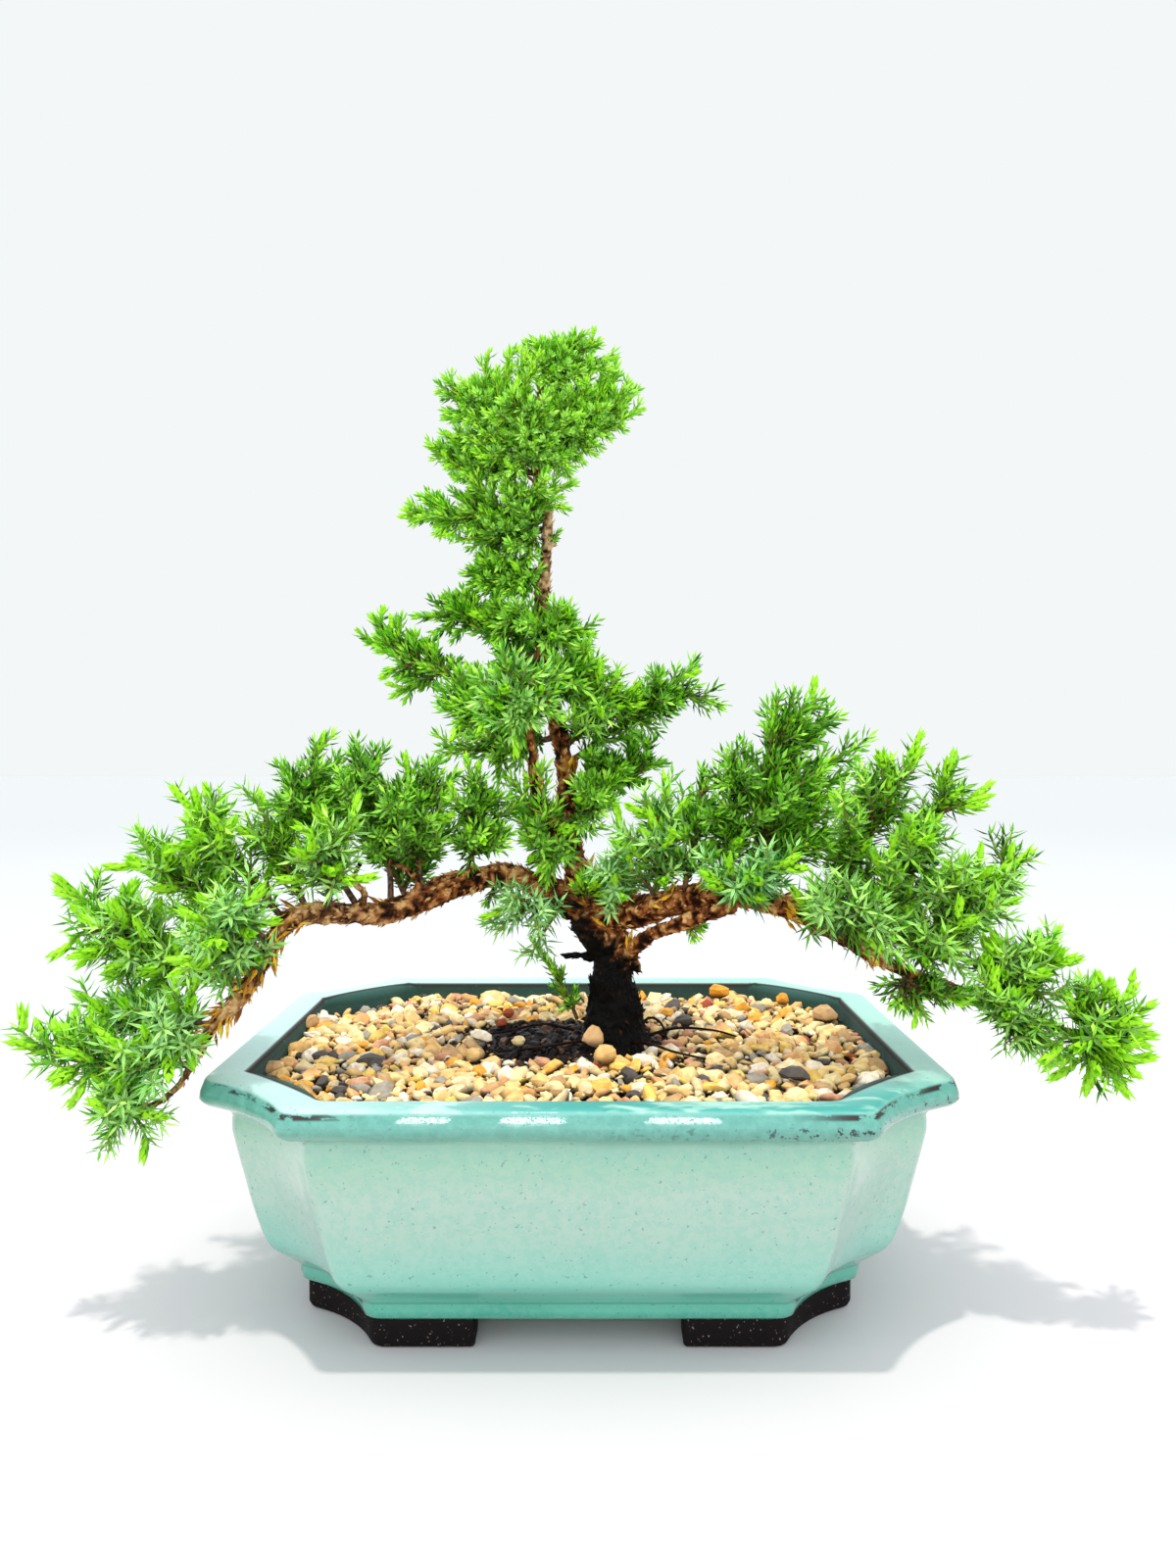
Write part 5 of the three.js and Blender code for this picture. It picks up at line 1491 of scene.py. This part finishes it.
def grow_spray(name, foot, needle, tips):
    """A leader from the wood to its tip, twigs that fork from it, and side shoots on them all"""
    spray = Spray(name, needle)
    foot = np.array(foot, float)
    ends = [np.array(tip, float) for tip in tips]
    ends = [tip - unit(tip - foot) * TIP_ROOM * needle for tip in ends]
    reach = np.linalg.norm(ends[0] - foot)
    sway = (FOOT_SWAY if name in BARE_FOOTED else LEADER_SWAY) * reach
    control = (foot + ends[0]) / 2 + (
        spray.chance.uniform(-sway, sway), spray.chance.uniform(-sway, sway), -LEADER_SAG * reach
    )
    leader = curve_points(foot, control, ends[0], TWIG_STEP)
    bare = FOOT_BARE if name in BARE_FOOTED else LEADER_BARE
    thick = SPRIG_THICK if name in SMALL_SHOOTS else LEADER_THICK
    spray.add_path(leader, thick, bare, spray.chance.random() < 2 * spray.fresh_share, 1.0)
    spray.clothe(leader, bare, SIDE_LENGTH * needle, 0)
    fills = fill_tips(spray, foot, ends)
    for number, tip in enumerate(ends[1:] + fills):
        share = fork_start(leader, tip, bare)
        k = max(1, round(share * (len(leader) - 1)))
        start = leader[k]
        ahead = unit(leader[min(k + 1, len(leader) - 1)] - leader[k - 1])
        towards = unit(tip - start)
        out = unit(towards - ahead * towards.dot(ahead))
        reach = np.linalg.norm(tip - start)
        control = start + ahead * FORK_ALONG * reach + out * FORK_OUT * reach
        fork = curve_points(start, control, tip, TWIG_STEP)
        given = number < len(ends)
        is_fresh = given and spray.chance.random() < 2 * spray.fresh_share
        spray.add_path(fork, TWIG_THICK, FORK_BARE, is_fresh, 0.6)
        spray.clothe(fork, FORK_BARE, (SIDE_LENGTH if given else SIDE_LENGTH_FILL) * needle, 0)
    return spray


def needle_mesh(widest):
    """One needle of unit length and half width: pointed at both ends, flat above, keeled below"""
    vertices = [(0, 0, 0), (0.25, -1, widest), (0.25, 1, widest), (1.1, 0, widest - 0.03), (0.1, 0, 1)]
    faces = [(0, 1, 2), (1, 4, 2), (0, 3, 1), (1, 3, 4), (0, 2, 3), (3, 2, 4)]
    across = (0.5, 0.0, 1.0, 2.5, 0.5)
    keel = 3
    mesh = raw_mesh("needle_shape", vertices, faces)
    layer = mesh.uv_layers.new(name="leaf")
    for polygon in mesh.polygons:
        for loop in polygon.loop_indices:
            v = mesh.loops[loop].vertex_index
            u = across[v] if keel not in polygon.vertices else 2.5
            layer.data[loop].uv = (u, vertices[v][2])
    return put("needle_shape", mesh)


def shoots_tree():
    """Geometry nodes that give each path its stem, and whorls of three needles along it"""
    group, tree = geometry_tree("shoots", (
        ("Paths", "Geometry"), ("Whorl pitch", "Float"), ("Seed", "Int"),
        ("Needle", "Object"), ("Leaf", "Material"), ("Twig", "Material"),
    ))
    given = tree.add("NodeGroupInput", out="Paths")
    seed = given.of("Seed")
    paths = tree.add("GeometryNodeMeshToCurve", None, {"Mesh": given})
    section = tree.add("GeometryNodeCurvePrimitiveCircle", None, {"Resolution": 4, "Radius": 1.0})
    stems = tree.dressed(tree.add("GeometryNodeCurveToMesh", None, {
        "Curve": paths, "Profile Curve": section, "Scale": tree.named("thick"), "Fill Caps": True,
    }), given.of("Twig"))
    spaced = tree.add("GeometryNodeResampleCurve", {"mode": "LENGTH"}, {
        "Curve": paths, "Length": given.of("Whorl pitch"),
    })
    whorls = tree.add("GeometryNodeCurveToPoints", {"mode": "EVALUATED"}, {"Curve": spaced})
    whorls = tree.stamped(whorls, "ahead", whorls.of("Tangent"), "POINT", "FLOAT_VECTOR")
    whorls = tree.stamped(whorls, "order", tree.add("GeometryNodeInputIndex"), "POINT")
    feet = tree.add("GeometryNodeDuplicateElements", {"domain": "POINT"}, {"Geometry": whorls, "Amount": 3})
    third = 2 * math.pi / 3
    turn = tree.named("order") * (third / 2) + feet.of("Duplicate Index") * third
    facing = tree.add("FunctionNodeAlignRotationToVector", {"axis": "Z"}, {
        "Vector": tree.named("ahead", "FLOAT_VECTOR"),
    })
    facing = tree.turned(facing, (0, 0, 1), turn + tree.chance(seed + 1, -0.25, 0.25))
    facing = tree.turned(facing, (0, 1, 0), tree.named("open") + tree.chance(seed + 2, -0.14, 0.14))
    wide = tree.named("wide") * tree.chance(seed + 3, 0.85, 1.15)
    long = tree.named("size") * tree.chance(seed + 4, 0.82, 1.12)
    leafy = {"A": tree.named("size"), "B": MM}
    needles = tree.add("GeometryNodeInstanceOnPoints", None, {
        "Points": feet, "Instance": tree.shape_of(given.of("Needle")), "Rotation": facing,
        "Selection": tree.add("FunctionNodeCompare", {"operation": "GREATER_THAN"}, leafy),
        "Scale": tree.add("ShaderNodeCombineXYZ", None, {"X": wide, "Y": wide, "Z": long}),
    })
    needles = tree.real(tree.stamped(needles, "tone", tree.chance(seed + 5, 0, 1)))
    needles = tree.dressed(needles, given.of("Leaf"))
    joined = tree.add("GeometryNodeJoinGeometry", None, {"Geometry": needles})
    tree.links.new(stems.socket, joined.socket.node.inputs[0])
    tree.add("NodeGroupOutput", None, {"Result": joined})
    return group


def make_sprays(leaf, twig):
    group = shoots_tree()
    shapes = {True: needle_mesh(0.36), False: needle_mesh(0.55)}
    for name, (foot, needle, tips) in {**SPRAYS, **SMALL_SHOOTS}.items():
        spray = grow_spray(name, foot, NEEDLE_SHARE * needle, tips)
        spray.build(group, leaf, twig, shapes[spray.starry])
    for shape in shapes.values():
        bpy.data.objects.remove(shape)


# Finishes


def glaze_look(tree):
    """Celadon glaze: pale on the wall, teal where it pools, with specks and worn dark edges"""
    place = tree.place()
    x, y, z = tree.parts(place)
    clouds = tree.noise(place, 30, 3)
    height = z / (POT_HEIGHT * MM) + (clouds - 0.5) * 0.14
    colour = tree.ramp(height, (
        (0.12, "#3d9b84"), (0.17, "#53ac93"), (0.25, "#69baa5"), (0.35, "#89bfad"), (0.5, "#9ebdac"),
        (0.66, "#a5bfae"), (0.78, "#96bda4"), (0.85, "#90bba7"), (0.9, "#5a9786"), (0.95, "#559688"),
    ))
    mottle = tree.noise(place, 420, 3, 0.7)
    colour = tree.blend(mottle.rise(0.4, 0.62) * 0.3, colour, "#6fb3a0")
    groove = z.near(13.2 * MM, 0.1 * MM, 0.6 * MM)
    colour = tree.blend(groove * 0.6, colour, "#2c8270")
    patches = tree.noise(place, 26, 2)
    seam = z.near(61.7 * MM, 0.2 * MM, 0.7 * MM) * patches.rise(0.5, 0.6)
    colour = tree.blend(seam * 0.7, colour, "#64757c")
    inset = lip_inset(x, y)
    # inner: the lip's inner side, painted darker as painted shade, rougher and without coat
    inner = inset.rise(10.4 * MM, 11.2 * MM) * z.rise(60 * MM, 63 * MM)
    colour = lip_colours(tree, place, colour, inset, inner)
    specks = tree.noise(place, 900, 2)
    colour = tree.blend(specks.rise(0.66, 0.72) * 0.5, colour, "#2f6f66")
    lip = z.rise(65.5 * MM, 67 * MM)
    kept = kept_gloss(tree, place, x, y, z)
    coat = 0.7 * (1 - lip) * (1 - inner) + kept
    return {
        "Base Color": colour, "Normal": glaze_ripple(tree, place, z), "Coat Weight": coat,
        "Roughness": 0.25 + inner * 0.5 + lip * (1 - kept) * 0.25,
    }


def kept_gloss(tree, place, x, y, z):
    """Where the front of the lip is still glossy, and shows the window: elsewhere it has worn dull"""
    ragged = tree.noise(tree.vector("MULTIPLY", place, (0.5, 1, 1)), 420, 6, 0.9)
    level = z.near(67.8 * MM, 0.8 * MM, 2.2 * MM) + (ragged - 0.5) * 3.2
    along = sum(x.near(middle * MM, (half - 6) * MM, (half + 4) * MM) for middle, half in GLEAMS)
    grains = tree.noise(place, 1700, 2, 0.8).rise(0.4, 0.5)
    return (along * level).rise(0.5, 0.66) * grains * (1 - y.rise(-80 * MM, -76 * MM))


def glaze_ripple(tree, place, z):
    """Slow waves on the wall, and short ones on the lip that break its highlights"""
    slow = tree.noise(place, 60, 2)
    short = tree.noise(tree.vector("MULTIPLY", place, (0.5, 1, 1)), 170, 2) * z.rise(62 * MM, 65 * MM)
    return tree.bump(slow + short, 0.35 * MM, 0.7)


def lip_inset(x, y):
    """How far in from the lip's outer edge a point lies"""
    from_end = POT_LENGTH / 2 * MM - x.away(POT_X)
    from_side = POT_DEPTH / 2 * MM - y.away(POT_Y)
    from_corner = (from_end + from_side - CORNER_CUT * MM) / (2 - CORNER_TAPER)
    return from_end.lesser(from_side).lesser(from_corner)


def lip_colours(tree, place, colour, inset, inner):
    """The lip's pale top with its teal brush marks and worn edges; the top is paler to the left and darker
    to the right as painted light and shade, and the inner side is painted darker as painted shade
    """
    x, y, z = tree.parts(place)
    top = z.rise(68.4 * MM, 69.6 * MM)
    # Painted light and shade: the pale top is painted paler towards the left end and darker towards the
    # right
    pale = tree.blend(x.rise(-60 * MM, 60 * MM), "#b0d2c9", "#94c4b2")
    colour = tree.blend(top, colour, pale)
    strokes = tree.noise(tree.vector("MULTIPLY", place, (0.35, 1, 1)), 150, 3, 0.6)
    front_right = x.rise(-85 * MM, 0) * (1 - y.rise(-72 * MM, -45 * MM))
    brushed = top * front_right * strokes.rise(0.42, 0.56)
    colour = tree.blend(brushed * 0.9, colour, "#2a948a")
    # Painted shade: the inner side of the lip is painted darker, as the inside of the pot lies in shade; it
    # is also rougher and has no coat
    colour = tree.blend(inner, colour, "#2c5048")
    rim = inset.near(10.9 * MM, 0.2 * MM, 0.9 * MM) * z.rise(60 * MM, 63 * MM)
    colour = tree.blend(rim * 0.95, colour, "#221711")
    corners = x.away(0).rise(48 * MM, 66 * MM) * y.away(0).rise(40 * MM, 55 * MM)
    worn = tree.noise(tree.vector("MULTIPLY", place, (0.6, 0.6, 1.6)), 260, 4, 0.7)
    edge = z.near(68.2 * MM, 0.3 * MM, 1.0 * MM) * corners * (1 - inset.rise(3 * MM, 5 * MM))
    colour = tree.blend(edge * worn.rise(0.47, 0.52), colour, "#1c1210")
    low_band = z.near(64.2 * MM, 1.2 * MM, 2.2 * MM) * x.rise(-15 * MM, 70 * MM)
    dots = tree.noise(place, 520, 2, 0.7)
    return tree.blend(low_band * dots.rise(0.57, 0.62), colour, "#0e2c30")


def clay_look(tree):
    place = tree.place()
    specks = tree.noise(place, 1400, 1)
    colour = tree.blend(specks.rise(0.7, 0.74), "#120c0d", "#7d6c64")
    return {"Base Color": colour, "Normal": tree.bump(tree.noise(place, 700, 3), 0.1 * MM)}


def stone_look(tree):
    place = tree.place()
    tone = tree.attribute("tone")
    high = tree.attribute("high")
    clouds = tree.noise(place, 420, 3)
    _, _, z = tree.parts(place)
    colour = tree.ramp(tone, (
        (0.0, "#ffe6a8"), (0.16, "#f6ca80"), (0.3, "#ffdc94"), (0.42, "#f4ac38"), (0.47, "#fff3da"),
        (0.56, "#cca470"), (0.62, "#f4bc7c"), (0.7, "#a8a090"), (0.75, "#fad06a"), (0.83, "#56504a"),
        (0.86, "#dca078"), (0.91, "#fbe4b0"), (0.985, "#b0522c"),
    ), steps=True)
    colour = tree.blend(clouds.rise(0.35, 0.75) * 0.45, colour, "#a8824c", "MULTIPLY")
    # Painted shade: each stone is painted darker towards its underside, where the stones shade one another
    colour = tree.blend((1 - high.rise(-0.5, 0.35)) * 0.9, colour, "#1c130c")
    # Painted shade: stones low in the gravel, in the gaps between the upper ones, are painted darker
    colour = tree.blend((1 - z.rise(62.4 * MM, 65.2 * MM)) * 0.9, colour, "#160f0a")
    return {"Base Color": colour, "Normal": tree.bump(tree.noise(place, 1500, 2), 0.08 * MM)}


def soil_look(tree):
    place = tree.place()
    crumbs = tree.noise(place, 500, 4, 0.6)
    tone = tree.attribute("tone")
    colour = tree.blend(crumbs.rise(0.42, 0.66), "#050302", "#2a1c15")
    colour = tree.blend(tone.rise(0.7, 1.0) * 0.85, colour, "#7c5840")
    return {"Base Color": colour, "Normal": tree.bump(crumbs, 0.8 * MM)}


def bark_look(tree):
    """Red-brown flaky bark, tan on the upper stem and wet black at the foot, darker in the grooves of its
    relief partly as painted shade
    """
    place = tree.place()
    x, _, z = tree.parts(place)
    tone = tree.attribute("tone")
    clouds = tree.noise(place, 260, 4, 0.65)
    # The colour follows the relief: darker in its grooves and paler on its ridges, partly the bark's own
    # colour and partly painted shade in the grooves
    height = tree.attribute("ridge") + (clouds - 0.5) * 2.6 + (tone - 0.25) * 0.9
    colour = tree.ramp(height * 0.5 + 0.5, (
        (0.22, "#0e0603"), (0.42, "#38190b"), (0.58, "#74401d"), (0.74, "#a86a36"), (0.95, "#dcae70"),
    ))
    greyer = z.rise(180 * MM, 215 * MM) * 0.8 + (1 - x.rise(-75 * MM, -35 * MM)) * 0.3
    colour = tree.blend(greyer, colour, tree.ramp(height * 0.5 + 0.5, (
        (0.25, "#1c120a"), (0.5, "#7a5a38"), (0.8, "#d6b888"),
    )))
    wet = tree.attribute("wet")
    black = tree.blend(tone.rise(0.8, 1.0) * 0.5, "#070504", "#4a3020")
    colour = tree.blend(wet, colour, black)
    fibres = tree.noise(place, 1100, 3, 0.6)
    return {
        "Base Color": colour, "Normal": tree.bump(fibres + clouds, 0.5 * MM),
        "Roughness": 0.85 - wet * 0.15,
    }


def dry_look(tree):
    colour = tree.ramp(tree.attribute("tone"), (
        (0.0, "#7a4410"), (0.25, "#c8861a"), (0.6, "#f0b020"), (0.85, "#f8cc48"), (1.0, "#c8bc34"),
    ))
    spots = tree.noise(tree.place(), 800, 2)
    return {"Base Color": tree.blend(spots.rise(0.5, 0.65) * 0.4, colour, "#6e4418")}


def leaf_look(tree):
    """Green needles with two pale bands on the upper face, lime where they are young, and darker deeper in
    the spray: partly older needles, partly painted shade
    """
    tone = tree.attribute("tone")
    fresh = tree.attribute("fresh")
    age = tree.attribute("age")
    frost = tree.attribute("frost")
    depth = tree.attribute("depth")
    u, v, _ = tree.parts(tree.add("ShaderNodeUVMap", {"uv_map": "leaf"}))
    # Painted shade: needles deep in the spray are painted darker and their pale bands fainter, partly for
    # older needles
    shade = depth + (tone - 0.5) * 0.7
    green = tree.ramp(shade, (
        (0.05, "#143f05"), (0.3, "#3a860a"), (0.55, "#6cc016"), (0.8, "#98e020"), (1.0, "#baf03c"),
    ))
    green = tree.blend(frost.rise(0.3, 1.0) * 0.4, green, "#58ae68")
    green = tree.blend(fresh * 0.9, green, "#a2e42a")
    green = tree.blend(age * tone * 1.2, green, "#7a7018")
    off_middle = u.away(0.5)
    band = off_middle.rise(0.05, 0.13) * (1 - off_middle.rise(0.36, 0.46)) * (1 - u.rise(1.1, 1.2))
    pale = band * (1 - fresh) * (frost.rise(0.0, 0.4) * 0.35 + 0.25) * depth.rise(0.15, 0.6)
    green = tree.blend(pale, green, tree.blend(frost, "#cef288", "#c8f0b8"))
    green = tree.blend((1 - v.rise(0.0, 0.35)) * 0.3, green, "#7f9c24")
    return {"Base Color": green}


def twig_look(tree):
    age = tree.attribute("age")
    streaks = tree.noise(tree.place(), 700, 2)
    old = tree.blend(streaks.rise(0.35, 0.65), "#2c1a10", "#7c5430")
    return {"Base Color": tree.blend(age.rise(0.05, 0.35), "#7f9a3e", old)}


def plastic_look(tree):
    return {"Base Color": tree.blend(tree.noise(tree.place(), 300), "#15161a", "#24262a")}


# The studio


def make_camera():
    camera = bpy.data.cameras.new("camera")
    camera.lens = CAMERA_LENS
    camera.sensor_width = 36
    camera.clip_start = 0.01
    holder = put("camera", camera)
    holder.location = (POT_X + CAMERA_ASIDE * MM, POT_Y - CAMERA_BACK * MM, CAMERA_HEIGHT * MM)
    holder.rotation_euler = (math.radians(90 - CAMERA_DOWN), 0, 0)
    bpy.context.scene.camera = holder


def make_light(name, kind, energy, location, target, **settings):
    light = bpy.data.lights.new(name, kind)
    light.energy = energy
    for key, value in settings.items():
        setattr(light, key, value)
    holder = put(name, light)
    holder.visible_camera = False
    holder.location = location
    way = Vector(target) - Vector(location)
    holder.rotation_euler = way.to_track_quat("-Z", "Y").to_euler()


def floor_look(tree):
    """White near the pot, and slowly toned to the background further off"""
    near_pot = tree.vector("MULTIPLY", tree.place(), (0.7, 1, 0))
    far = tree.add("ShaderNodeVectorMath", {"operation": "LENGTH"}, {0: near_pot})
    colour = tree.blend(far.rise(0.3, 0.42), (0.6, 0.57, 0.56, 1), (0.51, 0.51, 0.505, 1))
    return {"Base Color": tree.blend(far.rise(0.4, 2.2), colour, (0.4523, 0.4599, 0.4451, 1))}


def make_studio():
    half = FLOOR_HALF
    corners = [(-half, -half, 0), (half, -half, 0), (half, half, 0), (-half, half, 0)]
    floor = put("floor", raw_mesh("floor", corners, [(0, 1, 2, 3)]))
    white = material("white_floor", floor_look, {"Roughness": 0.9, "Specular IOR Level": 0.1})
    floor.data.materials.append(white)
    make_light(
        "sun", "SUN", SUN_STRENGTH, SUN_FROM, (0, 0, 0), angle=math.radians(2), color=(1, 0.98, 0.94)
    )
    make_light(
        "window", "AREA", WINDOW_POWER, WINDOW_PLACE, WINDOW_TARGET,
        shape="RECTANGLE", size=WINDOW_WIDTH, size_y=WINDOW_HEIGHT,
    )
    world = bpy.data.worlds.new("sky")
    bpy.context.scene.world = world
    world.use_nodes = True
    world.node_tree.nodes.clear()
    tree = Tree(world.node_tree)
    sky = tree.add("ShaderNodeBackground", None, {"Color": SKY_COLOUR, "Strength": SKY_STRENGTH})
    seen = tree.add("ShaderNodeBackground", None, {"Color": BACKGROUND, "Strength": 1.0})
    by_camera = tree.add("ShaderNodeLightPath", out="Is Camera Ray")
    both = tree.add("ShaderNodeMixShader", None, {0: by_camera, 1: sky, 2: seen})
    tree.add("ShaderNodeOutputWorld", None, {"Surface": both})
    bpy.context.scene.view_settings.view_transform = "Standard"


# Everything together

make_camera()
make_studio()
glaze = material("glaze", glaze_look, {"Coat Roughness": 0.05})
clay = material("clay", clay_look, {"Roughness": 0.75, "Specular IOR Level": 0.12})
stone = material("stone", stone_look, {"Roughness": 0.6, "Specular IOR Level": 0.3})
earth = material("earth", soil_look, {"Roughness": 0.5, "Specular IOR Level": 0.15})
bark = material("bark", bark_look, {"Specular IOR Level": 0.12})
dry = material("dry_leaf", dry_look, {"Roughness": 0.6, "Specular IOR Level": 0.3})
leaf = material("leaf", leaf_look, {"Roughness": 0.55, "Specular IOR Level": 0.18})
twig = material("twig", twig_look, {"Roughness": 0.7})
plastic = material("plastic", plastic_look, {"Roughness": 0.5})
make_glazed_pot(glaze)
make_feet(clay)
make_soil(earth)
make_gravel(stone, earth)
make_lone_stones(stone)
wood = make_wood(bark)
make_flakes(wood, bark, dry)
make_fine_roots(bark)
make_sprays(leaf, twig)
for side in ("left", "right"):
    screen = frame["nodes"]["drain_screen_" + side]
    screen.data.materials.clear()
    screen.data.materials.append(plastic)
